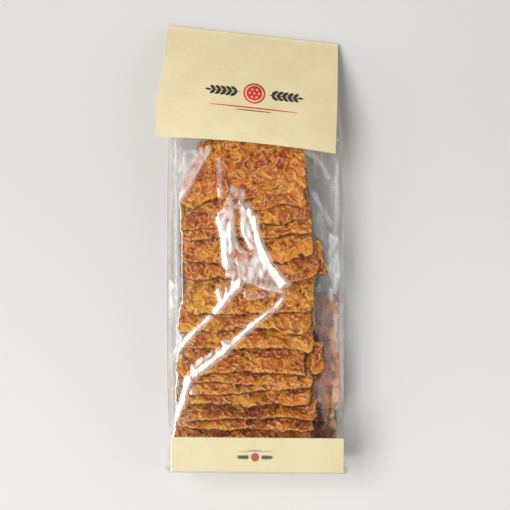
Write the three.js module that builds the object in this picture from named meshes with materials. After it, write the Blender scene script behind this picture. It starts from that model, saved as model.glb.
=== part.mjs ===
// A clear film bag of cheese crackers, lying on its back with its printed side up.
//
// Millimetres, +Z up. +Y runs from the card that stiffens the bag's bottom to the
// header card folded over its mouth, and the bag lies on the plane Z = 0.
//
// Three pieces:
//   base_card    a strip of card bent into a channel round the bag's bottom
//   header_card  a card folded over the flattened mouth, askew, and arched by what it lies on
//   bag          the filled bag as one solid: film drawn over a row of leaning crackers,
//                whose upper edges lie over one another like shingles
//
// The model is laid out from the middle of the base card's lower edge, and is then moved
// so that the middle of its footprint is at the origin.

import * as THREE from "three";

// ---- Driving dimensions --------------------------------------------------------------

const CARD_THICKNESS = 0.5;
const CLEARANCE = 0.3; // between pieces that touch
const BAG_DEPTH = 50; // front to back, where the base card holds the bag open

const BASE_WIDTH = 113;
const BASE_FLAP = 23; // how far the front and back flaps reach up the bag
const BEND_RADIUS = 1.2; // outside of a bend in the card
const BEND_STEPS = 4;

const HEADER_WIDTH = 120;
const HEADER_FRONT = 79.1; // from the fold to the middle of the lower edge, seen from above
const HEADER_BOW = 1.65; // the ends of the lower edge reach further, since they slope less
const HEADER_SLANT = 0.85; // and the left end further still
const HEADER_BACK = 62;
const HEADER_TURN = THREE.MathUtils.degToRad(-5.7); // of the fold, about +Z
const HEADER_SKEW = THREE.MathUtils.degToRad(2.6); // the card was folded this far off square
const FOLD_MIDDLE = new THREE.Vector2(-5.5, 296);
const FOLD_HEIGHT = 4; // across the fold, with the bag's mouth in it
const HEADER_MIDDLE_HEIGHT = 48.5; // top of the lower edge, halfway along it
const HEADER_LEFT_DROP = 5; // how much lower the ends of the lower edge are
const HEADER_RIGHT_DROP = 4;
const HEADER_SWELL = 1.4; // 1 is a straight slope from fold to lower edge; more is fuller

const BAG_TOP = 286; // end of the mouth, inside the header card's fold
const BACK_STEP = 224.5; // beyond this the bag's back lies on the header card's back panel
const BAG_LEFT = [[0, -62.5], [23, -58.8], [70, -61], [130, -62.1], [225, -62.6], [286, -60]]; // y, x
const BAG_RIGHT = [[0, 59], [23, 56.6], [70, 57.5], [130, 57.9], [190, 57], [225, 56.5], [286, 51]];
const EDGE_HEIGHTS = [[0, 46], [23, 46], [70, 36], [130, 31], [190, 27], [225, 20], [286, 3]]; // y, z
const GUSSET_TUCK = 4; // how far the side panels are folded in halfway up

// Crackers of the row that shows, from the base card up. Each upper edge runs from
// (LEFT, left) to (RIGHT, right), and height is how high it holds the film.
const ROW_LEFT = -50;
const ROW_RIGHT = 37;
const CRACKER_EDGES = [
  { left: 28.4, right: 26.8, height: 46.5 },
  { left: 31.8, right: 33.4, height: 46.5 },
  { left: 42.6, right: 43.7, height: 46.5 },
  { left: 50.4, right: 52.6, height: 46.5 },
  { left: 57.0, right: 56.0, height: 46.5 },
  { left: 65.4, right: 62.2, height: 46.5 },
  { left: 80.4, right: 78.0, height: 46.3 },
  { left: 90.6, right: 90.0, height: 46.0 },
  { left: 103.3, right: 104.4, height: 45.8 },
  { left: 126.2, right: 128.9, height: 45.6 },
  { left: 136.8, right: 142.1, height: 45.6 },
  { left: 150.4, right: 157.2, height: 45.6 },
  { left: 158.2, right: 167.0, height: 45.8 },
  { left: 173.4, right: 175.6, height: 46.4 },
];
const CRACKER_THICKNESS = 4;
const ROW_END = 216; // far end of the topmost cracker, which lies flattest
const FILM_SAG = 0.55; // share of the hollow between two edges that the film sinks into
const DEEPEST_SAG = 4.2;
const CRUST_BUMP = 0.45; // cheese crumbs felt through the film
const CRUST_PITCH = 4.6;

// Stiff folds in the film, where it stands off the crackers: from, to.
const FILM_FOLDS = [
  [[-29, 219], [-54, 181]],
  [[-10, 128], [-60, 73]],
  [[19, 118], [-48, 52]],
];
const FOLD_RISE = 1.7;
const FOLD_REACH = 3.2; // half the width of a fold's foot

const STEP_FOOT = 0.9; // how far the film's step up to the next edge leans
const FRONT_COLUMNS = 44;
const END_STATIONS = [0.8, 8, 16, 22.9, 24.2]; // y of the sections in the base card's channel
const NECK_STATIONS = [BACK_STEP, BACK_STEP + 1.5, 232, 240, 248, 257, 267, 277, BAG_TOP];

// ---- Small helpers -------------------------------------------------------------------

const { clamp, lerp, smoothstep } = THREE.MathUtils;

/** Value at x of a line through [x, value] pairs, level beyond its ends. */
function along(pairs, x) {
  const after = pairs.findIndex(([at]) => at > x);
  if (after === 0) return pairs[0][1];
  if (after < 0) return pairs[pairs.length - 1][1];
  const [[x0, v0], [x1, v1]] = [pairs[after - 1], pairs[after]];
  return lerp(v0, v1, (x - x0) / (x1 - x0));
}

/** Repeatable value from -1 to 1 for a point of a whole-number grid. */
function hashed(i, j) {
  const s = Math.sin(i * 127.1 + j * 311.7) * 43758.5453;
  return 2 * (s - Math.floor(s)) - 1;
}

/** Smooth bumps of the given pitch, from -1 to 1. */
function bumps(x, y, pitch) {
  const [u, v] = [x / pitch, y / pitch];
  const [i, j] = [Math.floor(u), Math.floor(v)];
  const [s, t] = [smoothstep(u - i, 0, 1), smoothstep(v - j, 0, 1)];
  const low = lerp(hashed(i, j), hashed(i + 1, j), s);
  const high = lerp(hashed(i, j + 1), hashed(i + 1, j + 1), s);
  return lerp(low, high, t);
}

/** Distance from (x, y) to the segment from a to b. */
function distanceTo([a, b], x, y) {
  const [dx, dy] = [b[0] - a[0], b[1] - a[1]];
  const t = clamp(((x - a[0]) * dx + (y - a[1]) * dy) / (dx * dx + dy * dy), 0, 1);
  return Math.hypot(x - a[0] - t * dx, y - a[1] - t * dy);
}

/**
 * Closed geometry through rings of equally many points. The rings run anticlockwise seen
 * against the way they follow one another. The caps list quads or triangles of a ring's points.
 */
function loft(rings, firstCap, lastCap) {
  const count = rings[0].length;
  const index = [];
  const fan = (corners) => {
    for (let i = 2; i < corners.length; i += 1) index.push(corners[0], corners[i - 1], corners[i]);
  };
  for (let ring = 0; ring < rings.length - 1; ring += 1) {
    for (let k = 0; k < count; k += 1) {
      const [a, b] = [ring * count + k, ring * count + ((k + 1) % count)];
      fan([a, a + count, b + count, b]);
    }
  }
  firstCap.forEach(fan);
  const last = (rings.length - 1) * count;
  lastCap.forEach((corners) => fan(corners.map((k) => last + k).reverse()));
  const geometry = new THREE.BufferGeometry();
  const positions = rings.flat().flatMap((point) => point.toArray());
  geometry.setAttribute("position", new THREE.Float32BufferAttribute(positions, 3));
  geometry.setIndex(index);
  return geometry;
}

// ---- Base card -----------------------------------------------------------------------

/** Outline of the channel, as a strip of card bent twice: y across the page, z up it. */
function channelOutline() {
  const shape = new THREE.Shape();
  const [r, t, d] = [BEND_RADIUS, CARD_THICKNESS, BAG_DEPTH];
  shape.moveTo(BASE_FLAP, 0);
  shape.lineTo(BASE_FLAP, t);
  shape.lineTo(r, t);
  shape.absarc(r, r, r - t, -Math.PI / 2, -Math.PI, true);
  shape.lineTo(t, d - r);
  shape.absarc(r, d - r, r - t, Math.PI, Math.PI / 2, true);
  shape.lineTo(BASE_FLAP, d - t);
  shape.lineTo(BASE_FLAP, d);
  shape.lineTo(r, d);
  shape.absarc(r, d - r, r, Math.PI / 2, Math.PI, false);
  shape.lineTo(0, r);
  shape.absarc(r, r, r, Math.PI, Math.PI * 1.5, false);
  return shape;
}

function baseCard() {
  const geometry = new THREE.ExtrudeGeometry(channelOutline(), {
    depth: BASE_WIDTH,
    bevelEnabled: false,
    curveSegments: BEND_STEPS,
  });
  // The outline is drawn in (y, z) and pulled along x.
  geometry.applyMatrix4(
    new THREE.Matrix4().makeBasis(
      new THREE.Vector3(0, 1, 0),
      new THREE.Vector3(0, 0, 1),
      new THREE.Vector3(1, 0, 0),
    ),
  );
  return geometry.translate(-BASE_WIDTH / 2, 0, 0);
}

// ---- Header card ---------------------------------------------------------------------

const FOLD_ALONG = new THREE.Vector2(Math.cos(HEADER_TURN), Math.sin(HEADER_TURN));

/** Direction in which a panel's side edges leave the fold. */
function panelDown(skew) {
  const angle = HEADER_TURN + skew - Math.PI / 2;
  return new THREE.Vector2(Math.cos(angle), Math.sin(angle));
}

/** How far the front panel reaches from the fold: across runs from -1 to 1. */
function headerReach(across) {
  return HEADER_FRONT + HEADER_BOW * across * across - HEADER_SLANT * across;
}

/** Height of the front panel's upper surface: across runs from -1 to 1, down from 0 to 1. */
function headerFrontHeight(across, down) {
  const drop = across < 0 ? HEADER_LEFT_DROP : HEADER_RIGHT_DROP;
  const edge = HEADER_MIDDLE_HEIGHT - drop * across * across;
  const rise = 1 - (1 - clamp(down, 0, 1)) ** HEADER_SWELL;
  return FOLD_HEIGHT + (edge - FOLD_HEIGHT) * rise;
}

/** Underside of the front panel over the point (x, y) of the plan. */
function headerUnderside(x, y) {
  const from = new THREE.Vector2(x, y).sub(FOLD_MIDDLE);
  const down = panelDown(HEADER_SKEW);
  const cross = FOLD_ALONG.x * down.y - FOLD_ALONG.y * down.x;
  const across = (from.x * down.y - from.y * down.x) / cross;
  const below = (FOLD_ALONG.x * from.y - FOLD_ALONG.y * from.x) / cross;
  const share = (2 * across) / HEADER_WIDTH;
  const slopeAllowance = 1.6; // the card's thickness, measured upright, where it is steepest
  return headerFrontHeight(share, below / headerReach(share)) - slopeAllowance * CARD_THICKNESS;
}

/** The folded card's section, from the back panel's lower edge round the fold to the front's. */
function headerStations() {
  const backSteps = 3;
  const arcSteps = 8;
  const frontSteps = 16;
  const radius = FOLD_HEIGHT / 2;
  const stations = [];
  for (let i = 0; i < backSteps; i += 1) {
    stations.push({ panel: "back", reach: HEADER_BACK * (1 - i / backSteps) });
  }
  for (let i = 0; i <= arcSteps; i += 1) {
    stations.push({ panel: "fold", angle: -Math.PI / 2 - (Math.PI * i) / arcSteps, radius });
  }
  for (let i = 1; i <= frontSteps; i += 1) {
    stations.push({ panel: "front", down: i / frontSteps });
  }
  return stations;
}

/** Point of the header card's outer or inner face. */
function headerPoint(station, across, inset) {
  const half = HEADER_WIDTH / 2;
  const plan = FOLD_MIDDLE.clone().addScaledVector(FOLD_ALONG, across * half);
  if (station.panel === "back") {
    plan.addScaledVector(panelDown(-HEADER_SKEW), station.reach);
    return new THREE.Vector3(plan.x, plan.y, inset);
  }
  if (station.panel === "fold") {
    const r = station.radius - inset;
    plan.addScaledVector(panelDown(0), Math.cos(station.angle) * r);
    return new THREE.Vector3(plan.x, plan.y, station.radius + Math.sin(station.angle) * r);
  }
  const reach = headerReach(across);
  const step = 0.005;
  const { down } = station;
  const rise = headerFrontHeight(across, down) - headerFrontHeight(across, down - step);
  const slope = Math.atan2(rise, step * reach);
  plan.addScaledVector(panelDown(HEADER_SKEW), down * reach + inset * Math.sin(slope));
  const height = headerFrontHeight(across, down) - inset * Math.cos(slope);
  return new THREE.Vector3(plan.x, plan.y, height);
}

function headerCard() {
  const columns = 25;
  const across = Array.from({ length: columns }, (_, i) => (2 * i) / (columns - 1) - 1);
  const rings = headerStations().map((station) => [
    ...across.map((share) => headerPoint(station, share, 0)),
    ...across.toReversed().map((share) => headerPoint(station, share, CARD_THICKNESS)),
  ]);
  const cap = across.slice(1).map((_, i) => [i, i + 1, 2 * columns - 2 - i, 2 * columns - 1 - i]);
  return loft(rings, cap, cap);
}

// ---- Filled bag ----------------------------------------------------------------------

/** How far the film sinks between an edge and the next, at share t of the way between them. */
function sagBelow(edge, next, t) {
  const pitch = (next.left + next.right - edge.left - edge.right) / 2;
  const hollow = Math.min(DEEPEST_SAG, CRACKER_THICKNESS * 0.6 + pitch * 0.09);
  return hollow * FILM_SAG * smoothstep(t, 0, 1.1) * 1.9;
}

/** Lines across the bag, from base card to mouth. The height of each is the film's over the row. */
function bagStations() {
  const level = (y, height) => ({ left: y, right: y, height });
  const stations = END_STATIONS.map((y) => level(y, CRACKER_EDGES[0].height - 0.6));
  CRACKER_EDGES.slice(0, -1).forEach((edge, i) => {
    const next = CRACKER_EDGES[i + 1];
    for (const t of [0, 0.22, 0.55]) {
      stations.push({
        left: lerp(edge.left, next.left, t),
        right: lerp(edge.right, next.right, t),
        height: edge.height - sagBelow(edge, next, t),
      });
    }
    stations.push({
      left: next.left - STEP_FOOT,
      right: next.right - STEP_FOOT,
      height: edge.height - sagBelow(edge, next, 1),
    });
  });
  const top = CRACKER_EDGES.at(-1);
  for (const t of [0, 0.12, 0.3, 0.5, 0.7, 0.85, 1]) {
    stations.push({
      left: lerp(top.left, ROW_END, t),
      right: lerp(top.right, ROW_END, t),
      height: top.height - 1.2 * t,
    });
  }
  NECK_STATIONS.forEach((y) => stations.push(level(y, 44)));
  return stations;
}

/** Height of the film at (x, y), from the height that the station gives over the row. */
function filmHeight(x, y, rowHeight) {
  const leftShare = smoothstep(x, along(BAG_LEFT, y), ROW_LEFT + 3);
  const rightShare = 1 - smoothstep(x, ROW_RIGHT - 2, along(BAG_RIGHT, y) + 9);
  const overRow = Math.min(leftShare, rightShare);
  const underCard = smoothstep(y, ROW_END - 10, ROW_END + 20);
  const crust = CRUST_BUMP * bumps(x, y, CRUST_PITCH) * overRow * (1 - underCard);
  const fold = FILM_FOLDS.reduce((most, line) => {
    const share = clamp(1 - distanceTo(line, x, y) / FOLD_REACH, 0, 1);
    return Math.max(most, FOLD_RISE * share);
  }, 0);
  const drawn = lerp(along(EDGE_HEIGHTS, y), rowHeight, overRow);
  const free = drawn + crust + fold * (0.4 + 0.6 * overRow);
  const inChannel = y < BASE_FLAP + CLEARANCE;
  const underFlap = inChannel ? BAG_DEPTH - CARD_THICKNESS - CLEARANCE : Infinity;
  return Math.min(free, underFlap, headerUnderside(x, y) - CLEARANCE);
}

/** How high the bag's back lies: on the plane, or on a card. */
function backHeight(y) {
  const onCard = y < BASE_FLAP + CLEARANCE || y > BACK_STEP + 1;
  return onCard ? CARD_THICKNESS + CLEARANCE : 0;
}

/** Ring of points round the bag at a station: its back, its right side, its front, its left side. */
function bagRing(station) {
  const { left, right, height } = station;
  const back = backHeight((left + right) / 2);
  const front = [];
  for (let i = 0; i <= FRONT_COLUMNS; i += 1) {
    const share = 1 - i / FRONT_COLUMNS;
    const middleY = (left + right) / 2;
    const x = lerp(along(BAG_LEFT, middleY), along(BAG_RIGHT, middleY), share);
    const y = lerp(left, right, clamp((x - ROW_LEFT) / (ROW_RIGHT - ROW_LEFT), -0.1, 1.2));
    front.push(new THREE.Vector3(x, y, filmHeight(x, y, height)));
  }
  const foot = (edge) => new THREE.Vector3(edge.x, edge.y, back);
  const tucked = (edge, inward) => {
    const tuck = Math.min(GUSSET_TUCK, (edge.z - back) * 0.25);
    return new THREE.Vector3(edge.x + inward * tuck, edge.y, (edge.z + back) / 2);
  };
  const [rightEdge, leftEdge] = [front[0], front.at(-1)];
  return [foot(leftEdge), foot(rightEdge), tucked(rightEdge, -1), ...front, tucked(leftEdge, 1)];
}

function bag() {
  const rings = bagStations().map(bagRing);
  const cap = (ring) => {
    const outline = ring.map((point) => new THREE.Vector2(point.x, point.z));
    return THREE.ShapeUtils.triangulateShape(outline, []);
  };
  return loft(rings, cap(rings[0]), cap(rings.at(-1)));
}

// ---- The pack ------------------------------------------------------------------------

const CARD_BOARD = { color: 0xefe2b8, roughness: 0.72, metalness: 0 };
const FILLED_FILM = { color: 0xb8722f, roughness: 0.3, metalness: 0 };

function piece(name, geometry, look) {
  const mesh = new THREE.Mesh(geometry, new THREE.MeshStandardMaterial(look));
  mesh.name = name;
  return mesh;
}

const pack = new THREE.Group();
pack.add(
  piece("base_card", baseCard(), CARD_BOARD),
  piece("header_card", headerCard(), CARD_BOARD),
  piece("bag", bag(), FILLED_FILM),
);
const middle = new THREE.Box3().setFromObject(pack).getCenter(new THREE.Vector3());
pack.position.set(-middle.x, -middle.y, 0);

export default pack;
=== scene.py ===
"""A clear film bag of cheese crackers with a header card and a base card, seen from above.

Sizes are millimetres in the bag's own layout unless a name says otherwise: x across the bag
from the middle of the base card, y from the base card's outer face towards the header card,
z up from the surface that the bag lies on. Bench turns them into the frame's metres.
"""

import logging
import math
from dataclasses import dataclass
from enum import Enum
from typing import ClassVar

import bpy
import numpy as np
from mathutils import Euler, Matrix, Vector


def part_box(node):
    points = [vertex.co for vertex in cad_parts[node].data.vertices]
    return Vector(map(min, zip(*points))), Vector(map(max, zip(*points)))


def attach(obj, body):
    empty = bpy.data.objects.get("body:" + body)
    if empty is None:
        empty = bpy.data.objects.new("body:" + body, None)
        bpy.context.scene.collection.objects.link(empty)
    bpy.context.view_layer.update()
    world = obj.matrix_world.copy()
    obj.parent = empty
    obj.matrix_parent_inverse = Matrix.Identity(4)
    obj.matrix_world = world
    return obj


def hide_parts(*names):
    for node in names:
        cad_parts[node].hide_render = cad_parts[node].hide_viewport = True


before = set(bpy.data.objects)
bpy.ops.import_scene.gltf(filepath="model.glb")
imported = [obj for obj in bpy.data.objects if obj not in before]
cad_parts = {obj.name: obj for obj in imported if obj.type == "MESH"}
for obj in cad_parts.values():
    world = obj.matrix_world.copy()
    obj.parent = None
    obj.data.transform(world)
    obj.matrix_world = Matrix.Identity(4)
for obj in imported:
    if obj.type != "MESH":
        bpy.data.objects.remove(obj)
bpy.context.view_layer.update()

MM = 0.001
BODY = "root"
log = logging.getLogger("cracker_bag")


# ---- Sums that several pieces use ------------------------------------------------------


def ease(share: np.ndarray) -> np.ndarray:
    """Smooth step of a share that may run past 0 and 1."""
    share = np.clip(share, 0.0, 1.0)
    return share * share * (3.0 - 2.0 * share)


def along(pairs: tuple[tuple[float, float], ...], at: np.ndarray) -> np.ndarray:
    """Values of a line through (position, value) pairs, level beyond its ends."""
    places, values = zip(*pairs)
    return np.interp(at, places, values)


def linear(code: str) -> tuple[float, float, float, float]:
    """Turns a screen colour into a scene colour.

    Args:
        code: six hexadecimal digits.

    Returns:
        Red, green, blue and an alpha of 1.
    """
    channels = [int(code[i:i + 2], 16) / 255 for i in (0, 2, 4)]
    bent = [c / 12.92 if c <= 0.04045 else ((c + 0.055) / 1.055) ** 2.4 for c in channels]
    return (*bent, 1.0)


def soften(grid: np.ndarray, passes: int) -> np.ndarray:
    """Blurs a grid by averaging each value with its neighbours.

    Args:
        grid: the values.
        passes: how many times; the blur grows with the square root.

    Returns:
        A blurred copy.
    """
    grid = grid.copy()
    for _ in range(passes):
        for _ in range(2):
            grid[1:-1] = (grid[:-2] + 2 * grid[1:-1] + grid[2:]) / 4
            grid = grid.T
    return grid


def close_gaps(grid: np.ndarray, reach: int) -> np.ndarray:
    """Fills the dips that run across a grid's rows.

    Args:
        grid: the values.
        reach: rows; dips narrower than twice as many are filled.

    Returns:
        A filled copy.
    """
    padded = np.pad(grid, ((reach, reach), (0, 0)), mode="edge")
    window = range(2 * reach + 1)
    top = np.max([padded[k:k + len(grid)] for k in window], axis=0)
    padded = np.pad(top, ((reach, reach), (0, 0)), mode="edge")
    return np.min([padded[k:k + len(grid)] for k in window], axis=0)


class Bumps:
    """Repeatable smooth noise over a plane, from -1 to 1.

    Attributes:
        CELLS: grid points along a side of the square that repeats.
        START: where in that square x and y are 0.
    """

    CELLS: ClassVar[int] = 64
    START: ClassVar[tuple[float, float]] = (17.3, 5.9)

    def __init__(self, seed: int) -> None:
        """Draws the values at the noise's grid points.

        Args:
            seed: fixes the draw.
        """
        self.values = np.random.default_rng(seed).uniform(-1, 1, (self.CELLS, self.CELLS))

    def at(self, x: np.ndarray, y: np.ndarray, pitch: float) -> np.ndarray:
        """Noise at points.

        Args:
            x: across.
            y: along, of the same shape.
            pitch: size of a bump.

        Returns:
            A value for each point.
        """
        u, v = np.asarray(x) / pitch + self.START[0], np.asarray(y) / pitch + self.START[1]
        i, j = np.floor(u).astype(int), np.floor(v).astype(int)
        s, t = ease(u - i), ease(v - j)
        grid, n = self.values, self.CELLS
        low = grid[i % n, j % n] * (1 - s) + grid[(i + 1) % n, j % n] * s
        high = grid[i % n, (j + 1) % n] * (1 - s) + grid[(i + 1) % n, (j + 1) % n] * s
        return low * (1 - t) + high * t

    def layers(self, x: np.ndarray, y: np.ndarray,
               layers: tuple[tuple[float, float, float], ...]) -> np.ndarray:
        """Sum of several sizes of the noise.

        Args:
            x: across.
            y: along, of the same shape.
            layers: the strength of each, how much further along it is read, and its pitch.

        Returns:
            A value for each point.
        """
        return sum(strength * self.at(x, y + shift, pitch) for strength, shift, pitch in layers)


@dataclass(frozen=True)
class Bench:
    """Where the bag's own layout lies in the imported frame.

    Attributes:
        x: metres from the frame's origin to the layout's.
        y: the same, along the bag.
    """

    x: float
    y: float

    @classmethod
    def from_base_card(cls) -> "Bench":
        """Finds the layout's origin at the middle of the base card's outer edge."""
        low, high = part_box("base_card")
        return cls((low[0] + high[0]) / 2, low[1])

    def place(self, points: np.ndarray) -> np.ndarray:
        """Turns points of the layout into the frame's metres."""
        return np.asarray(points, dtype=float) * MM + np.array([self.x, self.y, 0.0])


def solid_volume(points: np.ndarray, quads: np.ndarray) -> float:
    """Signed volume inside closed quads, positive where they face outwards."""
    a, b, c, d = (points[quads[:, k]] for k in range(4))
    both = np.einsum("ij,ij->i", a, np.cross(b, c)) + np.einsum("ij,ij->i", a, np.cross(c, d))
    return float(both.sum() / 6)


def loft(rings: np.ndarray) -> tuple[np.ndarray, np.ndarray]:
    """Closed skin through rings whose second half runs back beside the first.

    Args:
        rings: points by station, place in the ring and axis.

    Returns:
        The points and the quads, which face outwards.
    """
    stations, count = rings.shape[:2]
    index = np.arange(stations * count).reshape(stations, count)
    onward = np.roll(index, -1, axis=1)
    sides = np.stack([index[:-1], index[1:], onward[1:], onward[:-1]], axis=-1).reshape(-1, 4)
    k = np.arange(count // 2 - 1)
    cap = np.stack([k, k + 1, count - 2 - k, count - 1 - k], axis=-1)
    quads = np.concatenate([sides, index[0][cap], index[-1][cap][:, ::-1]])
    points = rings.reshape(-1, 3)
    if solid_volume(points, quads) < 0:
        quads = quads[:, ::-1]
    return points, quads


def add_piece(
    name: str,
    points: np.ndarray,
    quads: np.ndarray,
    bench: Bench,
    material: bpy.types.Material,
    marks: dict[str, np.ndarray] | None = None,
    flat: np.ndarray | None = None,
) -> bpy.types.Object:
    """Makes a mesh object of quads, at the origin, with its place in its mesh.

    Args:
        name: the piece's name.
        points: places in the layout.
        quads: four point numbers a face.
        bench: places the layout.
        material: the finish.
        marks: a value a point, by attribute name.
        flat: the piece's own flat pattern, two millimetre values a point, for its UV map.

    Returns:
        The new object.
    """
    mesh = bpy.data.meshes.new(name)
    mesh.vertices.add(len(points))
    mesh.vertices.foreach_set("co", bench.place(points).ravel())
    mesh.loops.add(quads.size)
    mesh.loops.foreach_set("vertex_index", quads.ravel().astype(np.int32))
    mesh.polygons.add(len(quads))
    mesh.polygons.foreach_set("loop_start", np.arange(0, quads.size, 4, dtype=np.int32))
    mesh.update(calc_edges=True)
    mesh.validate()
    mesh.polygons.foreach_set("use_smooth", np.ones(len(mesh.polygons), dtype=bool))
    for mark, values in (marks or {}).items():
        layer = mesh.attributes.new(mark, "FLOAT", "POINT")
        layer.data.foreach_set("value", values.ravel().astype(np.float32))
    if flat is not None:
        corner = np.empty(len(mesh.loops), dtype=np.int32)
        mesh.loops.foreach_get("vertex_index", corner)
        uv = mesh.uv_layers.new(name="flat")
        uv.data.foreach_set("uv", (flat[corner] * MM).ravel().astype(np.float32))
    mesh.materials.append(material)
    piece = bpy.data.objects.new(name, mesh)
    bpy.context.scene.collection.objects.link(piece)
    return piece


# ---- Finishes --------------------------------------------------------------------------


class Nodes:
    """Lays out the nodes of one material or node group."""

    def __init__(self, tree: bpy.types.NodeTree) -> None:
        """Takes the tree to fill.

        Args:
            tree: an empty node tree.
        """
        self.tree = tree

    def add(self, kind: str, inputs: dict[str | int, object] | None = None,
            **settings: object) -> bpy.types.Node:
        """Adds a node, sets its options and feeds it.

        Args:
            kind: the node's class name.
            inputs: what its sockets get, by their names or numbers.
            **settings: options by attribute name.

        Returns:
            The node.
        """
        node = self.tree.nodes.new(kind)
        for name, value in settings.items():
            setattr(node, name, value)
        for socket, value in (inputs or {}).items():
            self.set(node.inputs[socket], value)
        return node

    def set(self, socket: bpy.types.NodeSocket, value: object) -> None:
        """Feeds a socket.

        Args:
            socket: the input.
            value: an output to link to it, or its plain value.
        """
        if isinstance(value, bpy.types.NodeSocket):
            self.tree.links.new(value, socket)
        else:
            socket.default_value = value

    def sum(self, operation: str, *values: object, clamp: bool = False) -> bpy.types.NodeSocket:
        """Adds a Math node.

        Args:
            operation: what it does.
            *values: outputs or numbers.
            clamp: whether the result is kept from 0 to 1.

        Returns:
            The result.
        """
        inputs = dict(enumerate(values))
        return self.add("ShaderNodeMath", inputs, operation=operation, use_clamp=clamp).outputs[0]

    def mix(self, share: object, low: object, high: object) -> bpy.types.NodeSocket:
        """Mixes two colours.

        Args:
            share: how much of the second, from 0 to 1.
            low: the first.
            high: the second.

        Returns:
            The mixed colour.
        """
        inputs = {0: share, 6: low, 7: high}
        return self.add("ShaderNodeMix", inputs, data_type="RGBA", clamp_factor=True).outputs[2]

    def ramp(self, share: object, stops: tuple[tuple[float, str], ...]) -> bpy.types.NodeSocket:
        """Picks a colour from a ramp.

        Args:
            share: place along the ramp, from 0 to 1.
            stops: positions and screen colours.

        Returns:
            The colour.
        """
        node = self.add("ShaderNodeValToRGB", {0: share})
        elements = node.color_ramp.elements
        while len(elements) < len(stops):
            elements.new(0.5)
        for element, (position, code) in zip(elements, stops):
            element.position = position
            element.color = linear(code)
        return node.outputs[0]

    def span(self, value: object, low: float, high: float, start: float = 0.0,
             end: float = 1.0) -> bpy.types.NodeSocket:
        """Maps a value smoothly from one range to another.

        Args:
            value: the value.
            low: where the first range starts.
            high: where it ends.
            start: what low becomes.
            end: what high becomes.

        Returns:
            The mapped value, level beyond the range.
        """
        inputs = dict(enumerate((value, low, high, start, end)))
        return self.add("ShaderNodeMapRange", inputs, interpolation_type="SMOOTHSTEP").outputs[0]

    def noise(self, where: bpy.types.NodeSocket, scale: object, detail: float = 3.0,
              roughness: float = 0.55) -> bpy.types.NodeSocket:
        """Adds a noise.

        Args:
            where: the coordinate.
            scale: bumps in a metre.
            detail: finer and finer layers.
            roughness: how much each layer counts beside the one before.

        Returns:
            A value from 0 to 1.
        """
        inputs = {"Vector": where, "Scale": scale, "Detail": detail, "Roughness": roughness}
        return self.add("ShaderNodeTexNoise", inputs).outputs[0]

    def place(self, stretch: tuple[float, float, float] = (1, 1, 1)) -> bpy.types.NodeSocket:
        """Reads the Object coordinates.

        Args:
            stretch: what each axis is multiplied by.

        Returns:
            The coordinates.
        """
        where = self.add("ShaderNodeTexCoord").outputs["Object"]
        return self.add("ShaderNodeMapping", {"Vector": where, "Scale": stretch}).outputs[0]

    def mark(self, name: str) -> bpy.types.NodeSocket:
        """Value of one of the mesh's own attributes."""
        return self.add("ShaderNodeAttribute", attribute_name=name).outputs["Fac"]

    def bump(self, height: bpy.types.NodeSocket, depth_m: float,
             strength: float) -> bpy.types.NodeSocket:
        """Turns a fine relief into a normal.

        Args:
            height: the relief, from 0 to 1.
            depth_m: metres that 1 stands for.
            strength: how much of it counts.

        Returns:
            The normal.
        """
        inputs = {"Strength": strength, "Distance": depth_m, "Height": height}
        return self.add("ShaderNodeBump", inputs).outputs[0]

    def finish(self, shader: bpy.types.Node) -> None:
        """Makes a shader the material's surface."""
        self.add("ShaderNodeOutputMaterial", {"Surface": shader.outputs[0]})


def new_material(name: str) -> tuple[bpy.types.Material, Nodes]:
    """Makes an empty node material.

    Args:
        name: its name.

    Returns:
        The material and its node layout.
    """
    material = bpy.data.materials.new(name)
    material.use_nodes = True
    material.node_tree.nodes.clear()
    return material, Nodes(material.node_tree)


def fibre_group() -> bpy.types.ShaderNodeTree:
    """Makes the paper fibre pattern that card and printed ink share.

    Its inputs are a coordinate and how many fibres lie in a metre.

    Returns:
        A node group that puts out a mottle value and a fine height.
    """
    name, along_fibres, clouds, fibre_share = "paper fibre", 0.35, 45.0, 0.45
    if name in bpy.data.node_groups:
        return bpy.data.node_groups[name]
    group = bpy.data.node_groups.new(name, "ShaderNodeTree")
    group.interface.new_socket("Where", in_out="INPUT", socket_type="NodeSocketVector")
    group.interface.new_socket("Fibres", in_out="INPUT", socket_type="NodeSocketFloat")
    group.interface.new_socket("Mottle", in_out="OUTPUT", socket_type="NodeSocketFloat")
    group.interface.new_socket("Height", in_out="OUTPUT", socket_type="NodeSocketFloat")
    nodes = Nodes(group)
    start = nodes.add("NodeGroupInput")
    where = start.outputs["Where"]
    stretched = nodes.add("ShaderNodeMapping", {"Vector": where, "Scale": (along_fibres, 1, 1)})
    fibres = nodes.noise(stretched.outputs[0], start.outputs["Fibres"], 4.0, 0.5)
    cloud = nodes.sum("MULTIPLY", nodes.noise(where, clouds, 2.0), 1 - fibre_share)
    mottle = nodes.sum("MULTIPLY_ADD", fibres, fibre_share, cloud)
    nodes.add("NodeGroupOutput", {"Mottle": mottle, "Height": fibres})
    return group


class Ink(Enum):
    """What is on a card's face."""

    BARE = "bare card"
    DARK = "dark print"
    RED = "red print"


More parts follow.
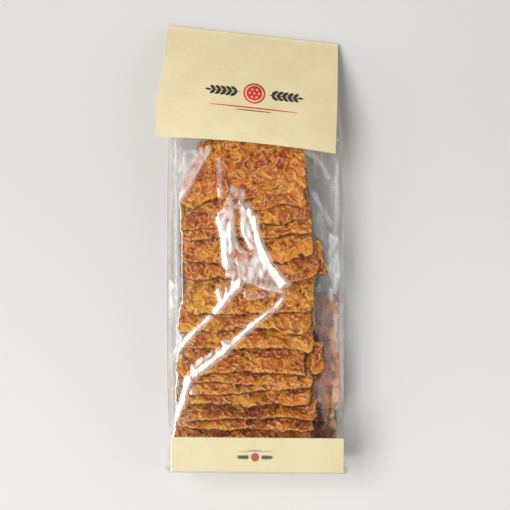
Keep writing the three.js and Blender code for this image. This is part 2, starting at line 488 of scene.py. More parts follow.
@dataclass(frozen=True)
class CardFinish:
    """Cream card with a faint fibre, and the inks printed on it.

    Attributes:
        cream: screen colour of the card's face.
        shade: screen colour of its darker mottle.
        inks: screen colour of each print.
        fibres: how many fibres lie in a metre.
        relief: how deep they are, in metres.
    """

    cream: str = "e5d6ac"
    shade: str = "dfcfa3"
    inks: tuple[tuple[Ink, str], ...] = ((Ink.DARK, "2b2420"), (Ink.RED, "cf2f26"))
    fibres: float = 900.0
    relief: float = 0.00004

    def material(self, ink: Ink = Ink.BARE) -> bpy.types.Material:
        """Makes the material of bare card or of one ink.

        Args:
            ink: what is on the face.

        Returns:
            The material.
        """
        material, nodes = new_material(f"cream card, {ink.value}")
        where = nodes.add("ShaderNodeUVMap", uv_map="flat").outputs[0]
        inputs = {"Where": where, "Fibres": self.fibres}
        fibre = nodes.add("ShaderNodeGroup", inputs, node_tree=fibre_group())
        mottle, cream = fibre.outputs["Mottle"], linear(self.cream)
        if ink is Ink.BARE:
            colour = nodes.mix(nodes.span(mottle, 0.38, 0.62), linear(self.shade), cream)
        else:
            thin = nodes.span(mottle, 0.5, 0.75, 0.0, 0.12)
            colour = nodes.mix(thin, linear(dict(self.inks)[ink]), cream)
        nodes.finish(nodes.add("ShaderNodeBsdfPrincipled", {
            "Base Color": colour,
            "Roughness": nodes.span(mottle, 0.3, 0.7, 0.5, 0.66),
            "Specular IOR Level": 0.42,
            "Normal": nodes.bump(fibre.outputs["Height"], self.relief, 0.5),
        }))
        return material


@dataclass(frozen=True)
class Wash:
    """Colour that covers another where a value passes between two marks.

    Attributes:
        colour: screen colour.
        low: value at which it starts.
        high: value at which it is fullest.
        share: how much of it shows there.
    """

    colour: str
    low: float
    high: float
    share: float

    def over(self, below: bpy.types.NodeSocket, value: bpy.types.NodeSocket,
             nodes: Nodes) -> bpy.types.NodeSocket:
        """Lays the wash.

        Args:
            below: the colour under it.
            value: what decides where it lies.
            nodes: the material's nodes.

        Returns:
            The colour with the wash over it.
        """
        cover = nodes.span(value, self.low, self.high, 0.0, self.share)
        return nodes.mix(cover, below, linear(self.colour))


@dataclass(frozen=True)
class CrustFinish:
    """Baked dough under melted, browned shreds of cheese.

    Attributes:
        bakes: ramp from the cheese that browned most to the cheese that browned least.
        golden: the palest patches.
        russet: the most toasted blotches.
        crest: painted highlight, a paler colour on the tops of the shreds.
        groove_shade: painted shade, a darker colour down between the shreds, over the dough.
        rim: the cut edge, where the dough shows.
        dough: underside, and the foot of the cut edge, which browned most; on the foot it also stands in as
            painted shade of the crevice under the edge.
        fine: grains of browning in a metre.
        lumps: lumps of melted cheese in a metre.
        patches: pale patches in a metre.
        blotches: toasted blotches in a metre.
        wear: places in a metre where the rim shows more.
        speckle: how far the grains move the cheese along the ramp.
        swell: how far the lumps raise or lower it.
        wrinkle_m: depth of its wrinkles in metres.
    """

    bakes: tuple[tuple[float, str], ...] = (
        (0.0, "a04307"), (0.35, "d66c04"), (0.7, "f2900c"), (1.0, "ffbd32"),
    )
    golden: Wash = Wash("f4ac22", 0.5, 0.66, 0.6)
    russet: Wash = Wash("983f07", 0.5, 0.68, 0.7)
    crest: Wash = Wash("ffd084", 0.6, 0.88, 0.7)
    groove_shade: Wash = Wash("572106", 0.43, 0.15, 0.86)
    rim: str = "f8b95a"
    dough: str = "5a2409"
    fine: float = 800.0
    lumps: float = 420.0
    patches: float = 70.0
    blotches: float = 150.0
    wear: float = 160.0
    speckle: float = 0.3
    swell: float = 0.2
    wrinkle_m: float = 0.0016

    def material(self) -> bpy.types.Material:
        """Makes the crackers' material."""
        material, nodes = new_material("browned cheese crust")
        where = nodes.place()
        relief, tone = nodes.mark("relief"), nodes.mark("tone")
        fine = nodes.noise(where, self.fine)
        lumps = nodes.noise(where, self.lumps, 2.0, 0.5)
        # Height of the cheese that sets its painted highlight and painted shade.
        painted_light_height = nodes.sum("MULTIPLY_ADD", nodes.sum("SUBTRACT", lumps, 0.5), self.swell, relief)
        grain = nodes.sum("SUBTRACT", fine, 0.5)
        crust = nodes.ramp(nodes.sum("MULTIPLY_ADD", grain, self.speckle, tone), self.bakes)
        crust = self.golden.over(crust, nodes.noise(where, self.patches, 2.0), nodes)
        crust = self.russet.over(crust, nodes.noise(where, self.blotches, 3.0, 0.6), nodes)
        # Painted highlight: the crest colour on cheese that stands high.
        crust = self.crest.over(crust, painted_light_height, nodes)
        # Painted shade: the groove colour in the hollows between the shreds.
        crust = self.groove_shade.over(crust, painted_light_height, nodes)
        worn = nodes.span(nodes.noise(where, self.wear, 2.0), 0.35, 0.6, 0.2, 0.8)
        crust = nodes.mix(nodes.sum("MULTIPLY", nodes.mark("rim"), worn), crust, linear(self.rim))
        wrinkle = nodes.sum("MULTIPLY_ADD", lumps, 0.6, nodes.sum("MULTIPLY", fine, 0.4))
        nodes.finish(nodes.add("ShaderNodeBsdfPrincipled", {
            # The dark foot of each cut edge is partly browning and partly painted shade of the crevice
            # under the edge.
            "Base Color": nodes.mix(nodes.mark("under"), crust, linear(self.dough)),
            "Roughness": nodes.span(fine, 0.35, 0.65, 0.08, 0.32),
            "Specular IOR Level": 0.75,
            "Normal": nodes.bump(wrinkle, self.wrinkle_m, 0.9),
        }))
        return material


@dataclass(frozen=True)
class FilmFinish:
    """Clear crackling film, whitish where it is creased: partly the film's own whitening, partly painted
    highlight and reflection.

    Attributes:
        index: refractive index that its shine is worked out with. It is above that of
            real film, because each sheet stands for two faces.
        tint: screen colour of what passes through it.
        haze: screen colour of a crease's whitening, which is partly painted highlight.
        crinkles: fine crinkles in a metre.
        crinkle_m: their depth in metres, where the film is slack.
        streaks: whitish streaks in a metre of a crease, partly painted highlight.
        roughness: of the clear film, and of a crease.
    """

    index: float = 2.2
    tint: str = "fbfbfa"
    haze: str = "fffdfb"
    crinkles: float = 190.0
    crinkle_m: float = 0.0006
    streaks: float = 420.0
    roughness: tuple[float, float] = (0.11, 0.24)

    def material(self) -> bpy.types.Material:
        """Makes the film's material."""
        material, nodes = new_material("clear film")
        crinkle = nodes.noise(nodes.place((1.0, 0.4, 1.0)), self.crinkles, 3.0, 0.5)
        slack = nodes.sum("MULTIPLY", crinkle, nodes.mark("slack"))
        relief, haze = nodes.bump(slack, self.crinkle_m, 0.2), nodes.mark("haze")
        clear = nodes.add("ShaderNodeBsdfTransparent", {"Color": linear(self.tint)})
        gloss = nodes.add("ShaderNodeBsdfGlossy", {
            "Color": (1.0, 1.0, 1.0, 1.0),
            "Roughness": nodes.span(haze, 0.0, 1.0, *self.roughness),
            "Normal": relief,
        })
        behind = nodes.add("ShaderNodeNewGeometry").outputs["Backfacing"]
        either_way = nodes.sum("POWER", self.index, nodes.sum("MULTIPLY_ADD", behind, -2.0, 1.0))
        mirror = nodes.add("ShaderNodeFresnel", {"IOR": either_way, "Normal": relief})
        layers = {0: mirror.outputs[0], 1: clear.outputs[0], 2: gloss.outputs[0]}
        skin = nodes.add("ShaderNodeMixShader", layers)
        # The diffuse white is partly the film's own whitening and partly painted highlight and reflection,
        # where the creases and veils mark it.
        milky_and_glare = nodes.add("ShaderNodeBsdfDiffuse", {"Color": linear(self.haze)})
        streaks = nodes.noise(nodes.place((1.0, 0.35, 1.0)), self.streaks, 2.0)
        streaked_white = nodes.span(streaks, 0.35, 0.65, 0.65, 1.15)
        white = nodes.sum("MULTIPLY", haze, streaked_white, clamp=True)
        layers = {0: white, 1: skin.outputs[0], 2: milky_and_glare.outputs[0]}
        nodes.finish(nodes.add("ShaderNodeMixShader", layers))
        return material


# ---- Crackers --------------------------------------------------------------------------


class Row(Enum):
    """Which layer of the bag a cracker lies in, with the size of its mesh's cells."""

    FRONT = 0.5
    DEEP = 1.0


class Cut(Enum):
    """One of a cracker's cut edges: where the noise is read for it, and how rough it is."""

    NEAR = (3.0, 0.75)
    FAR = (57.0, 1.1)
    LEFT = (101.0, 1.0)
    RIGHT = (151.0, 1.0)


ROUGH_CUT = ((1.0, 0.0, 9.0), (0.8, 9.0, 3.4), (0.6, 21.0, 1.4))
"""Layers of the noise along a cut edge."""

SWAY = ((0.5, 0.0, 25.0), (0.3, 80.0, 8.0))
"""Layers of the noise that warps a whole cracker."""

CRUMBLE = ((0.8, 160.0, 5.0), (0.4, 300.0, 2.6))
"""Layers of the noise that roughens its faces."""

BURNT_AND_SHADED = ((0.55, 200.0, 7.0), (0.45, 220.0, 2.2))
# Layers of the noise in the width of the dark foot of a cut edge, which is partly browning and partly
# painted shade of the crevice under it.
"""Layers of the noise in the width of the browned foot of a cut edge."""


@dataclass(frozen=True)
class Melt:
    """Sizes of one kind of melted cheese, least and greatest.

    Attributes:
        half: half its length.
        wide: half its width.
        bend: spread of its curve.
    """

    half: tuple[float, float]
    wide: tuple[float, float]
    bend: float = 0.0


@dataclass(frozen=True)
class Topping:
    """How melted cheese lies on the crackers.

    Attributes:
        density: strands and drops in a square millimetre.
        strand: sizes of a strand.
        drop: sizes of a drop.
        drop_every: one in so many is a drop.
        rise: least and greatest height of one.
        overlap: share of what is under one that it lies on top of.
        patch: size of the patches that browned less or more.
        patchiness: how much paler or darker they are.
        spread: how much neighbours differ besides.
        bare_patch: size of the patches with little cheese.
        bare_shift: how far along the noise they are read.
        bare_from: value of the noise above which they lie.
        pooled: height of the cheese that fills the hollows, beside its surroundings.
    """

    density: float = 0.19
    strand: Melt = Melt((1.6, 4.4), (0.75, 1.2), 0.15)
    drop: Melt = Melt((1.3, 2.8), (1.2, 2.4))
    drop_every: int = 9
    rise: tuple[float, float] = (0.35, 0.85)
    overlap: float = 0.45
    patch: float = 11.0
    patchiness: float = 0.35
    spread: float = 0.24
    bare_patch: float = 12.0
    bare_shift: float = 60.0
    bare_from: float = 0.62
    pooled: float = 0.75


@dataclass(frozen=True)
class Cracker:
    """Where one cracker lies, and how it was cut.

    Attributes:
        name: what its piece's name ends with.
        edge: x and y of points along the edge that shows, from left to right.
        lean: degrees that it leans from upright, away from the base card.
        top: height of that edge.
        depth: from that edge to the one opposite.
        row: its layer.
        ends: how far the far corners are moved along the cracker, left and right.
        corner: radius of its corners.
        bake: how pale it baked, from 0 to 1; in the deep layer it is set low as painted shade.
        shown: depth over which its mesh is fine, from the edge that shows.
        TOPPING: the cheese on it.
        BODY_HALF: half the dough's thickness.
        ROUNDING: how far in from an edge the dough reaches its full thickness.
        EDGE: how far in the edge that shows is warped on its own.
    """

    name: str
    edge: tuple[tuple[float, float], ...]
    lean: float
    top: float = 45.4
    depth: float = 46.0
    row: Row = Row.FRONT
    ends: tuple[float, float] = (0.0, 0.0)
    corner: float = 3.5
    bake: float = 0.5
    shown: float = 20.0

    TOPPING: ClassVar[Topping] = Topping()
    BODY_HALF: ClassVar[float] = 0.95
    ROUNDING: ClassVar[float] = 1.7
    EDGE: ClassVar[float] = 7.0

    def seed(self) -> int:
        """Number that fixes this cracker's random draws."""
        return sum((k + 1) * ord(letter) for k, letter in enumerate(self.name))

    def axes(self) -> tuple[np.ndarray, np.ndarray, np.ndarray, np.ndarray, float]:
        """Finds the cracker's own axes.

        Returns:
            Its near left corner, the directions along it, into the row and out of its
            face, and its length.
        """
        first, last = np.array(self.edge[0]), np.array(self.edge[-1])
        length = float(np.hypot(*(last - first)))
        run = np.array([*(last - first) / length, 0.0])
        inward = np.array([-run[1], run[0], 0.0])
        lean = math.radians(self.lean)
        deep = inward * math.sin(lean) + np.array([0.0, 0.0, -math.cos(lean)])
        return np.array([*first, self.top]), run, deep, np.cross(run, deep), length

    def edge_offsets(self, s: np.ndarray) -> np.ndarray:
        """How far the near edge lies from a straight line between its ends."""
        start, run, _, _, _ = self.axes()
        places = np.array(self.edge) - start[:2]
        inward = np.array([-run[1], run[0]])
        return np.interp(s, places @ run[:2], places @ inward) / math.sin(math.radians(self.lean))

    def spacing(self) -> tuple[np.ndarray, np.ndarray]:
        """Places of the mesh's columns along the cracker and of its rows across it."""
        cell, length = self.row.value, self.axes()[-1]
        fine = min(self.shown, self.depth)
        near = np.linspace(0, fine, max(8, round(fine / cell)) + 1)
        far = np.linspace(fine, self.depth, max(1, round((self.depth - fine) / cell / 2)) + 1)[1:]
        t = near if fine >= self.depth else np.concatenate([near, far])
        return np.linspace(0, length, max(12, round(length / cell))), t

    def cheese(self, s: np.ndarray, t: np.ndarray) -> tuple[np.ndarray, np.ndarray]:
        """Melts shreds and drops of cheese over the face.

        Args:
            s: places of the columns along the cracker.
            t: places of the rows across it.

        Returns:
            The height of the cheese, and how pale it baked, from 0 to 1.
        """
        draw = np.random.default_rng(self.seed())
        patches, rules = Bumps(self.seed() + 5), self.TOPPING
        ss, tt = np.meshgrid(s, t)
        height = np.zeros(ss.shape)
        bare = patches.at(ss, tt + rules.bare_shift, rules.bare_patch)
        tone = self.bake - 0.15 + 0.5 * np.clip(bare, 0, 0.8)
        for number in range(int(s[-1] * t[-1] * rules.density)):
            x, y = draw.uniform(0, s[-1]), draw.uniform(0, t[-1])
            kind = rules.strand if number % rules.drop_every else rules.drop
            angle = draw.uniform(0, math.pi)
            half, wide = draw.uniform(*kind.half), draw.uniform(*kind.wide)
            bend = draw.normal(0, kind.bend) if kind.bend else 0.0
            rise = draw.uniform(*rules.rise)
            pale = rules.patchiness * float(patches.at(x, y, rules.patch))
            pale = self.bake + pale + draw.normal(0, rules.spread)
            reach = half + wide + 1.0
            i0, i1 = np.searchsorted(s, (x - reach, x + reach))
            j0, j1 = np.searchsorted(t, (y - reach, y + reach))
            here = float(patches.at(x, y + rules.bare_shift, rules.bare_patch))
            if i1 - i0 < 2 or j1 - j0 < 2 or here > rules.bare_from:
                continue
            dx, dy = ss[j0:j1, i0:i1] - x, tt[j0:j1, i0:i1] - y
            run = dx * math.cos(angle) + dy * math.sin(angle)
            off = dy * math.cos(angle) - dx * math.sin(angle) - bend * (run * run - half * half / 3)
            past = np.clip(np.abs(run) - (half - wide), 0, None)
            shape = np.sqrt(np.clip(1 - (off * off + past * past) / (wide * wide), 0, 1))
            window = height[j0:j1, i0:i1]
            laid = np.where(shape > 0, rules.overlap * window.mean() + rise * shape, 0)
            tone[j0:j1, i0:i1] = np.where(laid > window, pale, tone[j0:j1, i0:i1])
            height[j0:j1, i0:i1] = np.maximum(window, laid)
        height = np.maximum(height, rules.pooled * soften(height, 14))
        return soften(height, 1), np.clip(soften(tone, 1), 0, 1)

    def plan(self, s: np.ndarray, t: np.ndarray, waves: Bumps) -> tuple[np.ndarray, np.ndarray]:
        """Lays the mesh's points out inside the cracker's uneven outline.

        Args:
            s: places of the columns along the cracker.
            t: places of the rows across it.
            waves: makes its edges uneven.

        Returns:
            How far each point lies along the cracker and into the row.
        """
        length = s[-1]

        def cut(edge: Cut, position: np.ndarray) -> np.ndarray:
            """Uneven offset of a cut edge."""
            line, rough = edge.value
            return rough * waves.layers(position, line + 0 * position, ROUGH_CUT)

        def rounding(radius: float) -> np.ndarray:
            """How far rounded corners pull an edge in."""
            away = np.clip(np.minimum(s / length, 1 - s / length) * length, 0, radius)
            return radius - np.sqrt(radius * radius - (radius - away) ** 2)

        near = self.edge_offsets(s) + cut(Cut.NEAR, s) + rounding(self.corner)
        far = self.depth + cut(Cut.FAR, s) - rounding(self.corner + 1)
        left = self.ends[0] * t / self.depth + cut(Cut.LEFT, t)
        right = self.ends[1] * t / self.depth + cut(Cut.RIGHT, t)
        share_s, share_t = np.meshgrid(s / length, t / self.depth)
        along_it = s[None, :] + left[:, None] * (1 - share_s) + right[:, None] * share_s
        return along_it, near[None, :] * (1 - share_t) + far[None, :] * share_t

    def build(self, bench: Bench, material: bpy.types.Material) -> bpy.types.Object:
        """Makes the cracker as one closed mesh.

        Args:
            bench: places the layout.
            material: the crust.

        Returns:
            The piece.
        """
        start, run, deep, out, length = self.axes()
        s, t = self.spacing()
        cheese, tone = self.cheese(s, t)
        waves = Bumps(self.seed() + 1)
        along_it, into_it = self.plan(s, t, waves)
        ss, tt = np.meshgrid(s, t)
        inside = np.minimum.reduce([ss, length - ss, tt, self.depth - tt])
        bulge = 1 - np.clip(inside / self.ROUNDING, 0, 1)
        skin = 0.3 + 0.7 * np.sqrt(np.clip(1 - bulge * bulge, 0, 1))
        past_edge = ease(tt / self.EDGE)
        edge_sway = 0.9 * waves.at(ss, 0 * tt + 33.0, 10.0) * (1 - past_edge)
        sway = waves.layers(ss, tt, SWAY) + edge_sway
        crumble = waves.layers(ss, tt, CRUMBLE)
        face = sway + (self.BODY_HALF - 0.6 + 2.5 * cheese + crumble) * skin
        back = sway - (0.1 + (self.BODY_HALF - 0.1) * past_edge + 0.3 * crumble) * skin
        # Relief sets the crust's painted highlight on the cheese's crests and painted shade in its hollows.
        broad, close = cheese - soften(cheese, 12), cheese - soften(cheese, 3)
        # The deep layer's lower level is painted shade: more of the groove colour, for the row's shadow
        # over it.
        level = 0.5 if self.row is Row.FRONT else 0.36
        relief = np.clip(level + 0.85 * broad + 1.2 * close + 0.14 * crumble, 0, 1)

        def spot(lift: np.ndarray) -> np.ndarray:
            """Points of one side of the cracker."""
            return (start + along_it[..., None] * run + into_it[..., None] * deep
                    + lift[..., None] * out)

        points, quads = loft(np.concatenate([spot(face), spot(back)[:, ::-1]], axis=1))
        plain = np.zeros(ss.shape)
        rim = np.clip(1 - np.abs(inside - 0.6) / 0.7, 0, 1)
        # The dark foot along each cut edge: partly browning, partly painted shade of the crevice under the
        # edge.
        burnt_and_shaded = np.maximum(0.12 + waves.layers(ss, tt, BURNT_AND_SHADED), 0.02)
        pairs = {
            "relief": (relief, plain + 0.5),
            "tone": (tone, plain + 0.5),
            "rim": (rim, plain),
            "under": (np.clip(1 - inside / burnt_and_shaded, 0, 1), plain + 1),
            "topping": ((inside > 0.3).astype(float), plain),
        }
        marks = {mark: np.concatenate([a, b[:, ::-1]], axis=1) for mark, (a, b) in pairs.items()}
        return add_piece(f"cracker_{self.name}", points, quads, bench, material, marks)


@dataclass(frozen=True)
class ShredScatter:
    """Geometry Nodes that lay loose shreds of cheese on a cracker's face.

    Attributes:
        per_square_metre: shreds in a square metre of a cracker that shows.
        deep_share: how many a deep cracker has, beside one that shows.
        shortest: least scale of a shred.
        longest: greatest scale of its length.
        fattest: greatest scale of its width and thickness.
        tones: how pale the darkest and the palest baked, from 0 to 1.
        relief: how far they stand above the crust, for its painted highlight and painted shade.
        shapes: how many different shreds there are.
        half: half a shred's length before it is scaled.
        wide: half its width.
        thick: half its thickness.
        seed: fixes how they bend.
    """

    per_square_metre: float = 6000.0
    deep_share: float = 0.4
    shortest: float = 0.35
    longest: float = 0.9
    fattest: float = 1.1
    tones: tuple[float, float] = (0.2, 0.9)
    relief: float = 0.62
    shapes: int = 4
    half: float = 3.4
    wide: float = 0.72
    thick: float = 0.36
    seed: int = 71

    def shred_shapes(self) -> bpy.types.Collection:
        """Makes the bent, flattened shreds that are laid out."""
        shapes = bpy.data.collections.new("cheese shreds")
        draw = np.random.default_rng(self.seed)
        stations, sides = 7, 6
        for number in range(self.shapes):
            bend = draw.uniform(-0.13, 0.13)
            run = np.linspace(-self.half, self.half, stations)
            wide = self.wide * np.sqrt(np.clip(1.04 - (run / self.half) ** 4, 0.05, 1))
            turn = (np.arange(sides) + 0.5) / sides * 2 * math.pi
            x = run[:, None] + 0 * turn[None, :]
            y = bend * run[:, None] ** 2 + wide[:, None] * np.cos(turn)
            z = self.thick * wide[:, None] / self.wide * np.sin(turn) + 0.1
            points, quads = loft(np.stack([x, y, z], axis=-1))
            mesh = bpy.data.meshes.new(f"shred {number}")
            mesh.from_pydata((points * MM).tolist(), [], quads.tolist())
            mesh.polygons.foreach_set("use_smooth", [True] * len(mesh.polygons))
            shapes.objects.link(bpy.data.objects.new(f"shred {number}", mesh))
        return shapes

    def tree(self, shapes: bpy.types.Collection,
             material: bpy.types.Material) -> bpy.types.GeometryNodeTree:
        """Builds the node tree.

        Args:
            shapes: the shreds to pick from.
            material: the crust.

        Returns:
            The tree, whose inputs after the geometry are Density and Seed.
        """
        tree = bpy.data.node_groups.new("cheese shred scatter", "GeometryNodeTree")
        sockets = tree.interface
        sockets.new_socket("Cracker", in_out="INPUT", socket_type="NodeSocketGeometry")
        sockets.new_socket("Density", in_out="INPUT", socket_type="NodeSocketFloat")
        sockets.new_socket("Seed", in_out="INPUT", socket_type="NodeSocketInt")
        sockets.new_socket("Topped cracker", in_out="OUTPUT", socket_type="NodeSocketGeometry")
        nodes = Nodes(tree)
        start = nodes.add("NodeGroupInput")
        seed, name = start.outputs["Seed"], {"Name": "topping"}
        topping = nodes.add("GeometryNodeInputNamedAttribute", name, data_type="FLOAT")
        spread = nodes.add("GeometryNodeDistributePointsOnFaces", {
            "Mesh": start.outputs["Cracker"],
            "Selection": topping.outputs[0],
            "Density": start.outputs["Density"],
            "Seed": seed,
        }, distribute_method="RANDOM")

        def chance(low: object, high: object, offset: int,
                   kind: str = "FLOAT") -> bpy.types.NodeSocket:
            """Random value for each shred."""
            terms = {0: seed, 1: offset}
            offset_seed = nodes.add("FunctionNodeIntegerMath", terms, operation="ADD")
            first, result = {"FLOAT": (2, 1), "FLOAT_VECTOR": (0, 0)}[kind]
            inputs = {first: low, first + 1: high, "Seed": offset_seed.outputs[0]}
            return nodes.add("FunctionNodeRandomValue", inputs, data_type=kind).outputs[result]

        angle = {"Axis": (0.0, 0.0, 1.0), "Angle": chance(0.0, 2 * math.pi, 11)}
        spin = nodes.add("FunctionNodeAxisAngleToRotation", angle)
        turns = {0: spread.outputs["Rotation"], 1: spin.outputs[0]}
        turned = nodes.add("FunctionNodeRotateRotation", turns, rotation_space="LOCAL")
        pick = {"Collection": shapes, "Separate Children": True, "Reset Children": True}
        low, high = (self.shortest,) * 3, (self.longest, self.fattest, self.fattest)
        laid = nodes.add("GeometryNodeInstanceOnPoints", {
            "Points": spread.outputs["Points"],
            "Instance": nodes.add("GeometryNodeCollectionInfo", pick).outputs[0],
            "Pick Instance": True,
            "Rotation": turned.outputs[0],
            "Scale": chance(low, high, 23, "FLOAT_VECTOR"),
        }).outputs[0]
        for mark, value in (("tone", chance(*self.tones, 37)), ("relief", self.relief)):
            stored = {"Geometry": laid, "Name": mark, "Value": value}
            laid = nodes.add("GeometryNodeStoreNamedAttribute", stored, data_type="FLOAT",
                             domain="INSTANCE").outputs[0]
        realized = nodes.add("GeometryNodeRealizeInstances", {0: laid})
        joined = nodes.add("GeometryNodeJoinGeometry", {0: realized.outputs[0]})
        nodes.set(joined.inputs[0], start.outputs["Cracker"])
        dressing = {"Geometry": joined.outputs[0], "Material": material}
        dressed = nodes.add("GeometryNodeSetMaterial", dressing)
        nodes.add("NodeGroupOutput", {0: dressed.outputs[0]})
        return tree

    def cover(self, piece: bpy.types.Object, tree: bpy.types.GeometryNodeTree,
              cracker: Cracker) -> None:
        """Lays shreds on a cracker and makes the result its plain mesh.

        Args:
            piece: the cracker's piece.
            tree: from tree().
            cracker: says how many shreds it has and fixes where they fall.
        """
        modifier = piece.modifiers.new("shreds", "NODES")
        modifier.node_group = tree
        names = {item.name: item.identifier for item in tree.interface.items_tree
                 if item.in_out == "INPUT"}
        share = 1.0 if cracker.row is Row.FRONT else self.deep_share
        modifier[names["Density"]] = self.per_square_metre * share
        modifier[names["Seed"]] = cracker.seed()
        graph = bpy.context.evaluated_depsgraph_get()
        mesh = bpy.data.meshes.new_from_object(piece.evaluated_get(graph), depsgraph=graph)
        piece.modifiers.clear()
        plain, piece.data = piece.data, mesh
        bpy.data.meshes.remove(plain)
        mesh.name = piece.name


FRONT_CRACKERS = (
    Cracker("01", ((-54.9, 20.1), (-9.3, 20.1), (36.2, 20.1)), 45, top=44.0, bake=0.35),
    Cracker("02", ((-54.5, 28.8), (-41.0, 27.7), (-24.5, 27.3), (0.5, 27.1), (36.8, 26.9)), 46, bake=0.35),
    Cracker("03", ((-47.6, 32.6), (-45.6, 30.6), (-33.4, 32.9), (-21.2, 33.3), (-9.3, 33.9), (12.8, 34.9),
            (39.3, 33.6)), 47, bake=0.3),
    Cracker("04", ((-47.6, 43.4), (-43.9, 42.8), (-28.0, 43.2), (-12.9, 43.9), (-9.3, 42.0), (15.4, 44.2),
            (32.9, 43.8), (35.5, 45.2)), 50, bake=0.5),
    Cracker("05", ((-45.6, 49.1), (-29.1, 49.8), (-12.9, 51.1), (-0.5, 52.1), (17.0, 53.9), (36.2, 54.4)),
            52, bake=0.6),
    Cracker("06", ((-46.6, 56.0), (-37.7, 56.8), (-28.0, 58.7), (-14.8, 56.8), (9.7, 56.1), (34.9, 54.8)),
            54, bake=0.6),
    Cracker("07", ((-54.6, 66.9), (-48.9, 61.6), (-29.1, 64.3), (-9.3, 65.2), (8.3, 64.3), (30.8, 63.0)),
            57, ends=(6.0, -0.8), corner=1.5, bake=0.55),
    Cracker("08", ((-47.6, 80.5), (-25.8, 80.1), (0.5, 80.8), (25.6, 80.5), (36.6, 78.1)), 60, bake=0.6),
    Cracker("09", ((-53.6, 91.3), (-47.6, 90.7), (-37.9, 92.3), (-28.0, 91.1), (-14.8, 94.6), (-0.8, 94.0),
            (11.8, 93.1), (15.4, 90.8), (28.7, 90.8), (34.9, 94.0)), 62, ends=(7.0, 1.0), bake=0.66),
    Cracker("10", ((-47.6, 104.8), (-43.7, 103.4), (-34.1, 103.9), (-31.1, 103.2), (-6.0, 103.9),
            (18.9, 104.8), (30.2, 105.2), (36.2, 105.5)), 66, ends=(1.0, 3.0), shown=26.0, bake=0.76),
    Cracker("11", ((-49.6, 126.3), (-38.6, 126.3), (-25.8, 127.0), (-6.0, 126.3), (17.0, 126.0),
            (22.3, 125.1), (30.2, 126.4), (39.5, 129.1)), 66, ends=(0.0, -3.0)),
    Cracker("12", ((-49.6, 137.1), (-24.5, 136.9), (-6.0, 136.9), (15.4, 136.9), (22.3, 140.2),
            (30.2, 141.7), (36.6, 143.5)), 67, ends=(4.0, 0.0)),
    Cracker("13", ((-50.3, 151.0), (-41.0, 151.7), (-28.0, 154.0), (-12.6, 154.0), (3.8, 153.7),
            (17.0, 156.0), (34.9, 157.3)), 68, ends=(12.0, 0.0)),
    Cracker("14", ((-52.9, 158.0), (-36.0, 159.3), (-17.3, 161.3), (1.2, 162.6), (12.8, 162.9),
            (21.7, 165.2), (34.9, 166.9)), 70, ends=(22.0, 0.0)),
    Cracker("15", ((-54.0, 176.2), (-45.6, 171.8), (-39.7, 174.5), (-29.1, 180.4), (-20.6, 183.0)), 76,
            depth=40.0, corner=1.5, ends=(21.0, 3.0), shown=40.0),
    Cracker("16", ((-28.5, 179.7), (-12.6, 179.1), (3.5, 179.1), (7.1, 174.5), (15.1, 175.8), (26.3, 173.8),
            (30.2, 176.1)), 77, top=46.0, depth=42.0, ends=(1.0, -2.0), shown=42.0),
    Cracker("scrap_top", ((-5.4, 172.5), (-1.8, 171.4), (10.4, 173.5)), 80, top=44.6, depth=10.0,
            corner=2.0),
    Cracker("scrap_middle", ((-12.9, 109.2), (-4.7, 111.1), (5.8, 114.1)), 72, top=44.0, depth=12.0,
            corner=2.5),
    Cracker("scrap_left", ((-45.6, 142.8), (-35.7, 145.6), (-25.8, 147.2)), 74, top=44.2, depth=14.0,
            corner=2.5),
    Cracker("scrap_right", ((37.5, 129.5), (45.8, 128.0)), 74, top=41.0, depth=24.0, corner=2.5,
            ends=(-9.0, -9.0)),
    Cracker("scrap_low", ((34.2, 66.0), (37.5, 63.6), (43.6, 65.6)), 70, top=42.5, depth=22.0, corner=2.0),
)
"""The layer that shows, from the base card up, and the broken bits in it."""


@dataclass(frozen=True)
class DeepLayer:
    """Layer of crackers under the row that shows, laid like shingles.

    Attributes:
        count: how many crackers.
        left: x of their left ends.
        length: of their near edges.
        start: y of the first one's near edge.
        top: height of that edge.
        climb: how much higher each next one lies.
        lean: degrees from upright.
        STEP: from one near edge to the next.
        WANDER: how far a cracker may lie off its place.
    """

    count: int
    left: float
    length: float
    start: float
    top: float
    climb: float = 0.0
    lean: float = 80.0

    STEP: ClassVar[float] = 22.0
    WANDER: ClassVar[float] = 1.5

    def lay(self, first: int, draw: np.random.Generator) -> list[Cracker]:
        """Lays the layer.

        Args:
            first: number of its first cracker.
            draw: where the small irregularities come from.

        Returns:
            Its crackers.
        """
        laid = []
        for number in range(self.count):
            y = self.start + self.STEP * number
            x = self.left + draw.uniform(-self.WANDER, self.WANDER)
            edge = ((x, y), (x + self.length, y + draw.uniform(-self.WANDER, self.WANDER)))
            # The low bake is painted shade: the deep layer lies in the shadow of the row that shows.
            laid.append(Cracker(f"deep_{first + number}", edge, self.lean,
                                top=self.top + self.climb * number, row=Row.DEEP, bake=0.15))
        return laid


DEEP_LAYERS = (
    DeepLayer(4, -33.0, 86.0, 5.0, 11.0),
    DeepLayer(4, -53.0, 86.0, 93.0, 11.0),
    DeepLayer(3, -50.0, 83.0, 92.0, 16.0, 1.2),
    DeepLayer(2, -26.0, 54.0, 158.0, 19.6, 1.2),
    DeepLayer(3, -26.0, 54.0, 146.0, 24.0, 1.2, 86.0),
)
"""What the row that shows rests on."""

DEEP_ENDS = (
    Cracker("deep_crosswise", ((7.5, 31.0), (53.5, 30.0)), 89.0, top=15.6, depth=85.0,
            row=Row.DEEP, corner=5.0, bake=0.05),
    Cracker("deep_corner", ((-30.0, 37.5), (56.0, 38.5)), 86.0, top=20.6, row=Row.DEEP,
            corner=7.0, bake=0.3),
)
# The two whose ends show beyond the row on the right; their low bakes are painted shade of the row over
# them.
"""The two whose ends show beyond the row on the right."""


